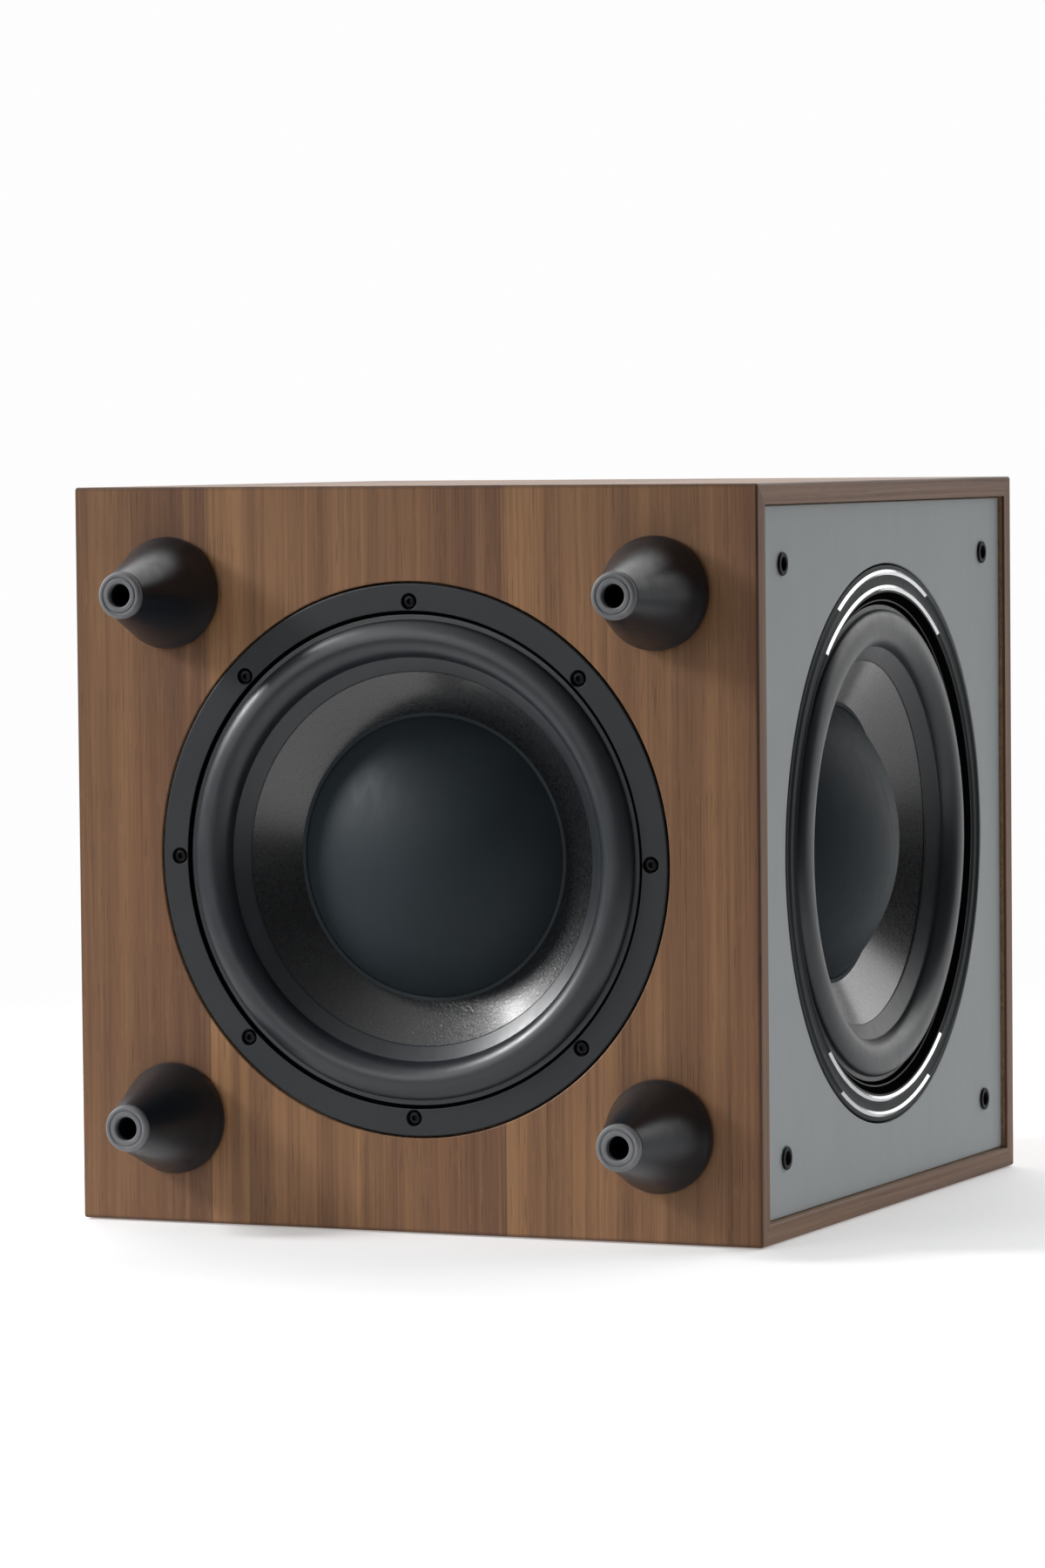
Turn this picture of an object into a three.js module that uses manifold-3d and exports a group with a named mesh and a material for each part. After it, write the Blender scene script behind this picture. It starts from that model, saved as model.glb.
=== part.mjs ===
// A cube-shaped powered subwoofer that lies on one side panel. Millimetres, +Z up.
// The origin is the centre of the lower side panel's outer face. The cabinet's bottom, with its four
// feet and the passive radiator, faces -Y. The front, with the woofer, faces +X, and the amplifier -X.
import * as THREE from 'three';
import { mergeVertices } from 'three/addons/utils/BufferGeometryUtils.js';
import Module from 'manifold-3d';

const wasm = await Module();
wasm.setup();

// Cabinet
const SIDE = 350;            // outer edge of the cube
const PANEL = 18;            // panel thickness
const LIP = 10;              // width of the panel edges left around the front and the rear
const RECESS = 3;            // the baffle sits this far behind the lips
const GAP = 0.3;             // clearance between pieces that are made to touch
const HALF = SIDE / 2;
const INSERT = SIDE - 2 * LIP;      // outer size of the baffle and of the rear panel

// Driver chassis: radii, and heights out of the flange's face
const FLANGE_R = 129.5;
const FLANGE_T = 5;
const BOWL_R = 112.5;        // chassis radius just behind the flange
const SHELF_R = 116.5;       // step that the surround is glued on
const SHELF_DEPTH = 2.5;
const FIT = 1;               // radial room around the flange and around the trim ring
const CHASSIS_DEPTH = 96;
const SPIDER_SEAT = 67;      // depth of the ledge that holds the spider
const WINDOWS = 6;           // openings in the chassis bowl
const SCREWS = 8;
const SCREW_CIRCLE_R = 121;
const SCREW_HEAD_R = 3.4;

// Cone assembly
const EDGE_R = 98.5;         // outer edge of the cone
const CAP_R = 66;            // rim of the dust cap
const CAP_RIM_DEPTH = 25.4;
const CAP_APEX = 3.5;        // the cap's middle stands this far out of the flange's face
const NECK_R = 26.2;         // outer radius of the voice coil former
const NECK_DEPTH = 57;

// Woofer only
const TRIM_R = 134;
const TRIM_INNER_R = 117.5;
const MAGNET_R = 70;

// Feet, grille sockets
const FOOT_INSET = 50;
const FOOT_R = 26.5;
const FOOT_TIP_R = 11;
const FOOT_BORE_R = 5.5;
const FOOT_HEIGHT = 49;
const PAD_HEIGHT = 3;
const SOCKET_INSET = 37.5;
const SOCKET_R = 5.5;
const SOCKET_BORE_R = 3.4;

// Amplifier: h is upward in use, which is +Y here, and w is along +Z
const AMP_H = 250;
const AMP_W = 190;
const AMP_PLATE = 3;
const CONTROL_ROW = 88;      // height of the row of controls above the plate's centre
const KNOB_R = 9;
const KNOB_HEIGHT = 14;
const KNOB_W = { gain_knob: -45, crossover_knob: 0 };
const SHAFT_R = 3;
const INLET = { h: -80, w: 50, high: 20, wide: 28, deep: 20 };
const SWITCH = { h: -38, w: 50, high: 13, wide: 20, deep: 14, tilt: 10 };
const PHASE = { h: CONTROL_ROW, w: 45, high: 4, wide: 9 };
const JACKS = { h: 36, w: [-58, -38], r: 4.2 };
const LIGHT_W = -78;

const ROUND = 30;            // facets of the large round pieces
const CHASSIS_FACETS = 24;
const MEDIUM = 20;
const SMALL = 12;

const finish = (color, roughness, metalness = 0) =>
  new THREE.MeshStandardMaterial({ color, roughness, metalness });
const WALNUT = finish('#74583f', 0.55);
const BAFFLE_GREY = finish('#85888a', 0.45);
const RAW_BOARD = finish('#8d7355', 0.85);
const BLACK_PLASTIC = finish('#1b1c1e', 0.4);
const CHASSIS_BLACK = finish('#2b2c2e', 0.55, 0.2);
const RUBBER = finish('#2c2d30', 0.5);
const PAD_GREY = finish('#6d6a67', 0.7);
const CONE = finish('#38393b', 0.6);
const CAP = finish('#2a2d2f', 0.35);
const CLOTH = finish('#b98d3e', 0.9);
const FELT = finish('#8f8f8a', 1);
const FOAM = finish('#222222', 0.95);
const STEEL = finish('#9b9da0', 0.35, 1);
const BLACK_STEEL = finish('#18191a', 0.4, 0.8);
const FERRITE = finish('#3a3a3c', 0.7);
const COPPER = finish('#b5653a', 0.35, 0.9);
const PLATE_BLACK = finish('#202122', 0.5, 0.3);
const ALUMINIUM = finish('#b9bcbf', 0.4, 1);
const CIRCUIT = finish('#1f5a35', 0.6);
const LENS = finish('#3a6fd0', 0.2);

// ---- solids ----

// A closed geometry as a solid that can be joined and cut.
function solid(geometry) {
  const bare = geometry.clone().deleteAttribute('normal').deleteAttribute('uv');
  const merged = mergeVertices(bare);
  const corners = merged.index.array;
  const faces = [];
  for (let i = 0; i < corners.length; i += 3) {
    const [a, b, c] = [corners[i], corners[i + 1], corners[i + 2]];
    if (a !== b && b !== c && c !== a) faces.push(a, b, c);
  }
  const vertProperties = new Float32Array(merged.attributes.position.array);
  return new wasm.Manifold(new wasm.Mesh({ numProp: 3, vertProperties, triVerts: new Uint32Array(faces) }));
}

function geometryOf(shape) {
  const { vertProperties, triVerts } = shape.getMesh();
  const geometry = new THREE.BufferGeometry();
  geometry.setAttribute('position', new THREE.BufferAttribute(new Float32Array(vertProperties), 3));
  geometry.setIndex(new THREE.BufferAttribute(new Uint32Array(triVerts), 1));
  geometry.computeVertexNormals();
  return geometry;
}

const join = (shapes) => shapes.reduce((whole, shape) => whole.add(shape));
const cut = (shape, tools) => shape.subtract(join(tools));

function block(x0, x1, y0, y1, z0, z1) {
  const box = new THREE.BoxGeometry(x1 - x0, y1 - y0, z1 - z0);
  return solid(box.translate((x0 + x1) / 2, (y0 + y1) / 2, (z0 + z1) / 2));
}

// Turned about the local Y axis. A profile is a list of [radius, out], and out is along -Y. A profile
// that starts on the axis ends there too; any other closes on itself.
function turned(profile, facets) {
  const points = profile.map(([radius, out]) => new THREE.Vector2(radius, -out));
  if (THREE.ShapeUtils.area(points) < 0) points.reverse();
  if (points[0].x > 0) points.push(points[0].clone());
  return solid(new THREE.LatheGeometry(points, facets));
}

const rod = (radius, from, to, facets) =>
  turned([[0, from], [radius, from], [radius, to], [0, to]], facets);

// The same shape moved within its group.
const moved = (shape, x, y, z) => shape.translate([x, y, z]);

function piece(name, shape, material) {
  const mesh = new THREE.Mesh(geometryOf(shape), material);
  mesh.name = name;
  return mesh;
}

function group(children, x, y, z, turnZ = 0) {
  const holder = new THREE.Group();
  holder.add(...children);
  holder.position.set(x, y, z);
  holder.rotation.z = turnZ;
  return holder;
}

// ---- cabinet ----

// A mitred panel whose outer face is z = -HALF, with a rebate along its front and its rear edge.
function panel() {
  const inner = HALF - PANEL;
  const outline = new THREE.Shape([
    new THREE.Vector2(-HALF, -HALF), new THREE.Vector2(HALF, -HALF),
    new THREE.Vector2(inner, -inner), new THREE.Vector2(-inner, -inner),
  ]);
  const prism = new THREE.ExtrudeGeometry(outline, { depth: SIDE, bevelEnabled: false });
  prism.translate(0, 0, -HALF);
  // The outline lies in Y and Z, and the panel runs along X.
  prism.applyMatrix4(new THREE.Matrix4().set(0, 0, 1, 0, 1, 0, 0, 0, 0, 1, 0, 0, 0, 0, 0, 1));
  const front = block(HALF - RECESS - PANEL, HALF + 1, -HALF, HALF, LIP - HALF, 0);
  const rear = block(-HALF - 1, PANEL - HALF, -HALF, HALF, LIP - HALF, 0);
  return cut(solid(prism), [front, rear]);
}

// Cuts along -Y for a driver's flange or trim ring, down to depth, and for its bowl.
function driverCuts(radius, depth) {
  return [rod(radius + FIT, -depth, 1, ROUND), rod(BOWL_R + FIT, -PANEL - 1, 0, ROUND)];
}

function screwPlaces() {
  return Array.from({ length: SCREWS }, (_, i) => {
    const angle = (i * 2 * Math.PI) / SCREWS;
    return [SCREW_CIRCLE_R * Math.sin(angle), SCREW_CIRCLE_R * Math.cos(angle)];
  });
}

function cabinet() {
  const lower = piece('side_panel_lower', panel(), WALNUT);
  const upper = piece('side_panel_upper', panel(), WALNUT);
  upper.rotation.x = Math.PI;
  const top = piece('top_panel', panel(), WALNUT);
  top.rotation.x = Math.PI / 2;

  // The bottom panel is cut in its place, where its outer face is y = -HALF.
  const pilots = screwPlaces().map(([x, z]) => moved(rod(2.3, -17, 0, 8), x, 0, z));
  const cuts = [...driverCuts(FLANGE_R, FLANGE_T + 1), ...pilots].map((tool) => moved(tool, 0, -HALF, 0));
  const bottom = piece('bottom_panel', cut(panel().rotate([-90, 0, 0]), cuts), WALNUT);

  const brace = cut(
    block(-100, 60, 100, 112, PANEL - HALF, HALF - PANEL), [block(-70, 30, 99, 113, -115, 115)]);
  const felt = block(-140, 130, HALF - PANEL - 6, HALF - PANEL, -135, 135);
  return group([
    lower, upper, top, bottom,
    piece('window_brace', brace, RAW_BOARD),
    piece('damping_felt', felt, FELT),
  ], 0, 0, HALF);
}

// The baffle, in the front group: its face is y = 0 there, and out is -Y.
function baffle() {
  const half = INSERT / 2;
  const place = HALF - SOCKET_INSET;
  const cuts = driverCuts(TRIM_R, FLANGE_T + RECESS + 1);
  for (const x of [-place, place]) {
    for (const z of [-place, place]) cuts.push(moved(rod(SOCKET_R - 0.6, -PANEL - 1, 1, SMALL), x, 0, z));
  }
  return piece('front_baffle', cut(block(-half, half, 0, PANEL, -half, half), cuts), BAFFLE_GREY);
}

function grilleSockets() {
  const place = HALF - SOCKET_INSET;
  const barrel = SOCKET_R - 0.9;
  const cup = turned([
    [0, -14], [barrel, -14], [barrel, GAP], [SOCKET_R, GAP], [SOCKET_R, 1.3], [SOCKET_BORE_R, 1.3],
    [SOCKET_BORE_R, -12], [0, -12],
  ], SMALL);
  const corners = [[-1, 1], [1, 1], [1, -1], [-1, -1]];
  return corners.map(([sx, sz], i) =>
    piece(`grille_socket_${i + 1}`, moved(cup, sx * place, 0, sz * place), BLACK_PLASTIC));
}

function rearPanel() {
  const half = INSERT / 2;
  const seat = block(-AMP_H / 2 - 0.5, AMP_H / 2 + 0.5, -1, AMP_PLATE + GAP, -AMP_W / 2 - 0.5, AMP_W / 2 + 0.5);
  const hole = block(10 - AMP_H / 2, AMP_H / 2 - 10, 0, PANEL + 1, 10 - AMP_W / 2, AMP_W / 2 - 10);
  return piece('rear_panel', cut(block(-half, half, 0, PANEL, -half, half), [seat, hole]), BLACK_PLASTIC);
}

// ---- feet ----

function feet() {
  const foot = turned([
    [FOOT_BORE_R, GAP], [FOOT_R - 0.5, GAP], [FOOT_R, 1.5], [FOOT_R, 4], [FOOT_R - 1.6, 8],
    [FOOT_TIP_R, FOOT_HEIGHT - GAP], [FOOT_BORE_R, FOOT_HEIGHT - GAP],
  ], MEDIUM);
  const pad = turned([
    [FOOT_BORE_R, FOOT_HEIGHT], [FOOT_TIP_R, FOOT_HEIGHT], [FOOT_TIP_R, FOOT_HEIGHT + PAD_HEIGHT - 1],
    [FOOT_TIP_R - 1, FOOT_HEIGHT + PAD_HEIGHT], [FOOT_BORE_R, FOOT_HEIGHT + PAD_HEIGHT],
  ], MEDIUM);
  const place = HALF - FOOT_INSET;
  const corners = [[-1, 1], [1, 1], [1, -1], [-1, -1]];
  const pieces = corners.flatMap(([sx, sz], i) => [
    piece(`foot_${i + 1}`, moved(foot, sx * place, 0, sz * place), BLACK_PLASTIC),
    piece(`foot_pad_${i + 1}`, moved(pad, sx * place, 0, sz * place), PAD_GREY),
  ]);
  return group(pieces, 0, -HALF, HALF);
}

// ---- drivers ----

// The cast chassis: flange, surround shelf, bowl with windows, spider ledge and rear ring.
function chassis() {
  const inner = [
    [FLANGE_R, 0], [SHELF_R, 0], [SHELF_R, -SHELF_DEPTH], [106, -SHELF_DEPTH], [102, -25],
    [76, -SPIDER_SEAT], [62, -SPIDER_SEAT], [62, -SPIDER_SEAT - 3], [40, 5 - CHASSIS_DEPTH],
    [40, -CHASSIS_DEPTH],
  ];
  const outer = [
    [58, -CHASSIS_DEPTH], [73, -76], [79, -68], [105, -26], [BOWL_R, -7], [BOWL_R, -FLANGE_T],
    [FLANGE_R, -FLANGE_T],
  ];
  const windows = Array.from({ length: WINDOWS }, (_, i) =>
    block(50, 140, 14, 60, -32, 32).rotate([0, (i * 360) / WINDOWS, 0]));
  return cut(turned([...inner, ...outer], CHASSIS_FACETS), windows);
}

// The flange's screw holes, with a counterbore for each head.
function screwHoles() {
  return screwPlaces().flatMap(([x, z]) => [
    moved(rod(SCREW_HEAD_R + 0.5, -3, 1, SMALL), x, 0, z),
    moved(rod(2.4, -FLANGE_T - 1, 0, 8), x, 0, z),
  ]);
}

// A half roll, and the land that is glued down the cone's face.
function surround() {
  const face = [
    [115, -1.3], [112.8, -1.3], [110.4, 2.6], [104, 4.6], [97.4, 2.2], [95.4, -3.9], [88, -9.4],
  ];
  const back = [
    [88, -9.85], [95, -4.7], [96.4, -4.3], [98.6, 1.2], [104, 3.4], [109.4, 1.4], [112, -2.2], [115, -2.2],
  ];
  return turned([...face, ...back], ROUND);
}

function cone() {
  return turned([
    [EDGE_R, -4.6], [95, -5], [CAP_R + 0.5, -CAP_RIM_DEPTH - 0.6], [NECK_R + GAP, -NECK_DEPTH],
    [NECK_R + GAP, -NECK_DEPTH - 2.2], [CAP_R + 0.5, -CAP_RIM_DEPTH - 2.8], [95, -7.2], [EDGE_R, -6],
  ], ROUND);
}

// A spherical cap, 1.2 thick, whose rim stands on the cone.
function dustCap() {
  const rise = CAP_APEX + CAP_RIM_DEPTH;
  const sphere = (CAP_R ** 2 + rise ** 2) / (2 * rise);
  const arc = (radius, steps, rim) => {
    const widest = Math.asin(rim / radius);
    return Array.from({ length: steps + 1 }, (_, i) => {
      const angle = (widest * i) / steps;
      return [radius * Math.sin(angle), CAP_APEX - sphere + radius * Math.cos(angle)];
    });
  };
  return turned([...arc(sphere, 6, CAP_R), ...arc(sphere - 1.2, 3, CAP_R - 1.5).reverse()], ROUND);
}

// A cupped, corrugated cloth ring from the chassis ledge up to the neck.
function spider() {
  const top = -NECK_DEPTH - 4;
  const waves = 2;
  const face = [[74, GAP + 0.9 - SPIDER_SEAT]];
  for (let i = 0; i <= 2 * waves; i += 1) {
    const share = i / (2 * waves);
    const slope = GAP + 0.9 - SPIDER_SEAT + share * (top - 0.9 - GAP + SPIDER_SEAT);
    face.push([62 - share * (62 - NECK_R - 0.5), slope + (i % 2 ? 1.2 : 0)]);
  }
  const back = face.map(([radius, out]) => [radius, out - 0.9]).reverse();
  return turned([...face, ...back], MEDIUM);
}

function passiveRadiator() {
  const screw = turned([
    [0, -16], [2, -16], [2, -2.7], [SCREW_HEAD_R, -2.7], [SCREW_HEAD_R, -1.2], [2.4, -0.5],
    [1.5, -0.5], [1.5, -1.8], [0, -1.8],
  ], 8);
  const screws = screwPlaces().map(([x, z], i) =>
    piece(`pr_screw_${i + 1}`, moved(screw, x, 0, z), BLACK_STEEL));
  const gasket = [[114, -5.1], [118, -5.1], [118, -5.9], [114, -5.9]];
  return group([
    piece('pr_basket', cut(chassis(), screwHoles()), CHASSIS_BLACK),
    piece('pr_gasket', turned(gasket, ROUND), FOAM),
    piece('pr_surround', surround(), RUBBER),
    piece('pr_cone', cone(), CONE),
    piece('pr_dust_cap', dustCap(), CAP),
    piece('pr_spider', spider(), CLOTH),
    piece('pr_mass', rod(NECK_R, -NECK_DEPTH - 17, -NECK_DEPTH - 1, MEDIUM), STEEL),
    ...screws,
  ], 0, -HALF, HALF);
}

function trimRing() {
  const face = RECESS;
  return turned([
    [TRIM_R, GAP], [TRIM_R, face - 0.5], [TRIM_R - 1, face], [131.9, face], [130.6, face + 1],
    [129.3, face], [124.5, face], [123.2, face + 1], [121.9, face], [TRIM_INNER_R + 1, face],
    [TRIM_INNER_R, face - 1], [TRIM_INNER_R, GAP],
  ], ROUND);
}

function motor() {
  const plateTop = CHASSIS_DEPTH + GAP;
  const plateBack = plateTop + 8;
  const magnetFront = plateBack + GAP;
  const magnetBack = magnetFront + 22;
  const yoke = magnetBack + GAP;
  const coil = [[NECK_R - 1, -59.5], [NECK_R, -59.5], [NECK_R, -112], [NECK_R - 1, -112]];
  const topPlate = [[NECK_R + 1.6, -plateTop], [62, -plateTop], [62, -plateBack], [NECK_R + 1.6, -plateBack]];
  const ferrite = [[32, -magnetFront], [MAGNET_R, -magnetFront], [MAGNET_R, -magnetBack], [32, -magnetBack]];
  const pole = NECK_R - 2.4;
  const backPlate = [
    [8, -plateTop], [pole, -plateTop], [pole, -yoke], [66, -yoke], [66, -yoke - 8], [8, -yoke - 8],
  ];
  return [
    piece('voice_coil', turned(coil, MEDIUM), COPPER),
    piece('top_plate', turned(topPlate, MEDIUM), STEEL),
    piece('magnet', turned(ferrite, MEDIUM), FERRITE),
    piece('back_plate', turned(backPlate, MEDIUM), STEEL),
  ];
}

// The woofer's flange sits behind the trim ring, so its face is RECESS deep in the baffle.
function woofer() {
  const gasket = [[114, -5.1], [118, -5.1], [118, -5.9], [114, -5.9]];
  return group([
    piece('woofer_basket', chassis(), CHASSIS_BLACK),
    piece('woofer_gasket', turned(gasket, ROUND), FOAM),
    piece('woofer_trim_ring', trimRing(), BLACK_PLASTIC),
    piece('woofer_surround', surround(), RUBBER),
    piece('woofer_cone', cone(), CONE),
    piece('woofer_dust_cap', dustCap(), CAP),
    piece('woofer_spider', spider(), CLOTH),
    ...motor(),
  ], 0, RECESS, 0);
}

// ---- amplifier: in its group out is -Y, height above the centre is -X, and w is Z ----

const at = (shape, h, w) => moved(shape, -h, 0, w);
const slab = (high, wide, from, to) => block(-high / 2, high / 2, from, to, -wide / 2, wide / 2);

function ampPlate() {
  const holes = [
    at(slab(INLET.high + 0.6, INLET.wide + 0.6, -1, 4), INLET.h, INLET.w),
    at(slab(SWITCH.high + 0.6, SWITCH.wide + 0.6, -1, 4), SWITCH.h, SWITCH.w),
    at(slab(PHASE.high + 1, PHASE.wide + 1, -1, 4), PHASE.h, PHASE.w),
    at(rod(3, -4, 1, SMALL), CONTROL_ROW, LIGHT_W),
    ...Object.values(KNOB_W).map((w) => at(rod(SHAFT_R + 0.6, -4, 1, SMALL), CONTROL_ROW, w)),
    ...JACKS.w.map((w) => at(rod(JACKS.r + 0.5, -4, 1, SMALL), JACKS.h, w)),
  ];
  return piece('amp_plate', cut(slab(AMP_H, AMP_W, 0, AMP_PLATE), holes), PLATE_BLACK);
}

function knob(name) {
  const body = turned([
    [0, -12], [SHAFT_R, -12], [SHAFT_R, 0.6], [KNOB_R, 0.6], [KNOB_R, 3], [KNOB_R - 1, 4],
    [KNOB_R - 1.6, KNOB_HEIGHT - 1], [KNOB_R - 2.6, KNOB_HEIGHT], [0, KNOB_HEIGHT],
  ], MEDIUM);
  const pointer = block(-KNOB_R + 0.5, -2, -KNOB_HEIGHT - 0.5, -KNOB_HEIGHT + 1, -0.8, 0.8);
  return piece(name, at(join([body, pointer]), CONTROL_ROW, KNOB_W[name]), BLACK_PLASTIC);
}

function mainsInlet() {
  const { high, wide, deep } = INLET;
  const body = join([slab(high + 6, wide + 20, -2, 0 - GAP), slab(high, wide, -1, deep)]);
  const hollow = slab(high - 4, wide - 4, -3, deep - 4);
  const pins = [-7, 0, 7].map((w, i) =>
    block(i === 1 ? 1 : -3, i === 1 ? 5 : 1, 4, deep - 3, w - 1, w + 1));
  return piece('mains_inlet', at(join([cut(body, [hollow]), ...pins]), INLET.h, INLET.w), BLACK_PLASTIC);
}

function powerSwitch() {
  const { high, wide, deep, tilt } = SWITCH;
  const frame = join([slab(high + 4, wide + 5, -1.5, -GAP), slab(high, wide, -1, deep)]);
  const housing = cut(frame, [slab(high - 2.4, wide - 2.4, -3, deep - 1.5)]);
  const rocker = slab(high - 4, wide - 5, -2.5, 4).rotate([-tilt, 0, 0]);
  return [
    piece('switch_housing', at(housing, SWITCH.h, SWITCH.w), BLACK_PLASTIC),
    piece('power_switch', at(rocker, SWITCH.h, SWITCH.w), BLACK_PLASTIC),
  ];
}

function phaseSwitch() {
  const lever = join([slab(PHASE.high, 4, -2.5, 8), slab(PHASE.high + 4, 12, 4, 8)]);
  return piece('phase_switch', at(lever, PHASE.h, PHASE.w - 2), BLACK_PLASTIC);
}

function inputJacks() {
  const barrels = JACKS.w.map((w) => moved(rod(JACKS.r, -6, 8, SMALL), 0, 0, w));
  const bores = JACKS.w.map((w) => moved(rod(1.7, -4, 9, SMALL), 0, 0, w));
  const middle = (JACKS.w[0] + JACKS.w[1]) / 2;
  const carrier = block(-8, 8, AMP_PLATE + GAP, 14, middle - 22, middle + 22);
  return piece('input_jacks', at(cut(join([carrier, ...barrels]), bores), JACKS.h, 0), STEEL);
}

function statusLight() {
  const lens = turned([[0, -9], [2.5, -9], [2.5, 0], [2, 1.2], [0, 2]], SMALL);
  return piece('status_light', at(lens, CONTROL_ROW, LIGHT_W), LENS);
}

// The control board, with the two potentiometers, two capacitors and a row of chips on it.
function ampBoard() {
  const board = at(slab(64, 170, 20, 21.6), 82, 0);
  const pots = Object.values(KNOB_W).map((w) => at(slab(14, 14, 12.4, 20.5), CONTROL_ROW, w));
  const capacitors = [30, 62].map((w) => at(rod(9, -44, -21, SMALL), 68, w));
  const chips = [-60, -38, -16].map((w) => at(slab(14, 8, 21, 25), 66, w));
  return piece('amp_board', join([board, ...pots, ...capacitors, ...chips]), CIRCUIT);
}

function heatSink() {
  const base = at(slab(42, 168, AMP_PLATE + GAP, 8), 1, 0);
  const fins = Array.from({ length: 7 }, (_, i) => at(slab(2, 168, 7, 32), -17 + i * 6, 0));
  return piece('heat_sink', join([base, ...fins]), ALUMINIUM);
}

function transformer() {
  const ring = [[10, -5], [30, -5], [36, -10], [36, -34], [30, -40], [10, -40]];
  return piece('transformer', at(turned(ring, MEDIUM), -78, -42), COPPER);
}

function amplifier() {
  return group([
    rearPanel(), ampPlate(), ...Object.keys(KNOB_W).map(knob), mainsInlet(), ...powerSwitch(),
    phaseSwitch(), inputJacks(), statusLight(), ampBoard(), heatSink(), transformer(),
  ], -HALF, 0, HALF, -Math.PI / 2);
}

// The twin lead from the board to the woofer, held inside the cabinet.
function speakerLead() {
  const route = new THREE.CatmullRomCurve3([
    [-150, 60, 175], [-125, 76, 175], [-70, 86, 175], [10, 88, 175], [60, 86, 175], [84, 80, 175],
  ].map(([x, y, z]) => new THREE.Vector3(x, y, z)));
  const section = new THREE.Shape();
  section.absarc(0, 0, 2, 0, 2 * Math.PI);
  const tube = new THREE.ExtrudeGeometry(section, { steps: 12, curveSegments: 4, extrudePath: route });
  return piece('speaker_lead', solid(tube), FOAM);
}

const subwoofer = new THREE.Group();
subwoofer.name = 'subwoofer';
subwoofer.add(
  cabinet(),
  group([baffle(), ...grilleSockets(), woofer()], HALF - RECESS, 0, HALF, Math.PI / 2),
  feet(),
  passiveRadiator(),
  amplifier(),
  speakerLead(),
);

export default subwoofer;
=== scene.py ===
"""A cube subwoofer lying on its side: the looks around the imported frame.

Lengths are in mm. Meshes, materials and lights are in metres.
"""
import math

import bmesh
import bpy
from mathutils import Matrix, Vector


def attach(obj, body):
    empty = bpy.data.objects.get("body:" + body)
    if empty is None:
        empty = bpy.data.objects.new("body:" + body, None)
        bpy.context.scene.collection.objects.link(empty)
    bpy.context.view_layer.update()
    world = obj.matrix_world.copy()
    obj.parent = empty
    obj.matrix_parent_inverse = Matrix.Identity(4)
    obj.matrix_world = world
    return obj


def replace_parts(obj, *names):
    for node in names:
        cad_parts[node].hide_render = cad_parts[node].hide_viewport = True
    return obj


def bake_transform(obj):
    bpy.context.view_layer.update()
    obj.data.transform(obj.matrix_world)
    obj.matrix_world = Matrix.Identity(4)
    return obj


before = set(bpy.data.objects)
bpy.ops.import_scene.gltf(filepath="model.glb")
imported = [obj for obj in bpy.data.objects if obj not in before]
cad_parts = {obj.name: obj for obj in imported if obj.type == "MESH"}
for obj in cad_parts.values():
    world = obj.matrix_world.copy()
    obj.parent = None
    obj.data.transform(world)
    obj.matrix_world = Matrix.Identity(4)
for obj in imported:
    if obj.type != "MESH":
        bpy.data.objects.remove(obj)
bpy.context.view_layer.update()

MM = 0.001
HALF = 175.0            # half of the cube's edge
PANEL = 18.0            # thickness of the board
LIP = 10.0              # the veneered rim in front of the baffle and behind the back
RECESS = 3.0            # from the rim down to the baffle
INSERT = 165.0          # half of the baffle's edge
EDGE = 1.3              # rounding of the cabinet's edges
REBATE_R = 130.5        # the radiator's rebate in the bottom panel
SEAT_R = 135.0          # the woofer's seat in the baffle
BOWL_R = 113.5          # both drivers' holes
SCREW_R = 121.0
FOOT_PLACE = 125.0
SOCKET_PLACE = 137.5
ROLL_CREST = 103.9      # radius of the surround's crest
ROLL_HIGH = 4.6         # its height over the flange
LEAF = 153.0            # width of a veneer leaf
SEAM = 47.0             # X of one seam between leaves

# The amplifier. Its points are (-height, w).
PLATE = (250, 190)
KNOBS = {"gain_knob": -45.0, "crossover_knob": 0.0}     # w of each
CONTROL_ROW = 88.0      # height of the knobs, the phase switch and the light
PHASE_W = 45
LIGHT_W = -78
INLET = (80, 50)
SWITCH = (38, 50)
JACK_ROW = -36
JACKS = (("red_ring", "right", -58), ("white_ring", "left", -38))


def axes(origin, across, up):
    """A local frame in mm. Its third axis, out, is across x up."""
    across, up = Vector(across), Vector(up)
    m = Matrix.Identity(4)
    for i, column in enumerate((across, up, across.cross(up), Vector(origin))):
        for j in range(3):
            m[j][i] = column[j]
    return m


UNDER = axes((0, -HALF, HALF), (1, 0, 0), (0, 0, 1))     # the cabinet's bottom: out is -Y
TOP = axes((0, HALF, HALF), (1, 0, 0), (0, 0, -1))       # out is +Y
LOWER = axes((0, 0, 0), (1, 0, 0), (0, -1, 0))           # out is -Z
UPPER = axes((0, 0, 2 * HALF), (1, 0, 0), (0, 1, 0))     # out is +Z
WOOFER = axes((HALF - 2 * RECESS, 0, HALF), (0, 1, 0), (0, 0, 1))   # out is +X, from the flange's face
BAFFLE = axes((HALF - RECESS, 0, HALF), (0, 1, 0), (0, 0, 1))
REAR = axes((-HALF, 0, HALF), (0, -1, 0), (0, 0, 1))     # out is -X, and height in use is -across

# ---------------------------------------------------------------- camera

CAMERA = {"lens": 142.58, "azimuth": 23.653, "elevation": 3.141, "roll": -0.547, "distance": 3.0622,
          "aim": (0.01817, -0.02624)}


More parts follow.
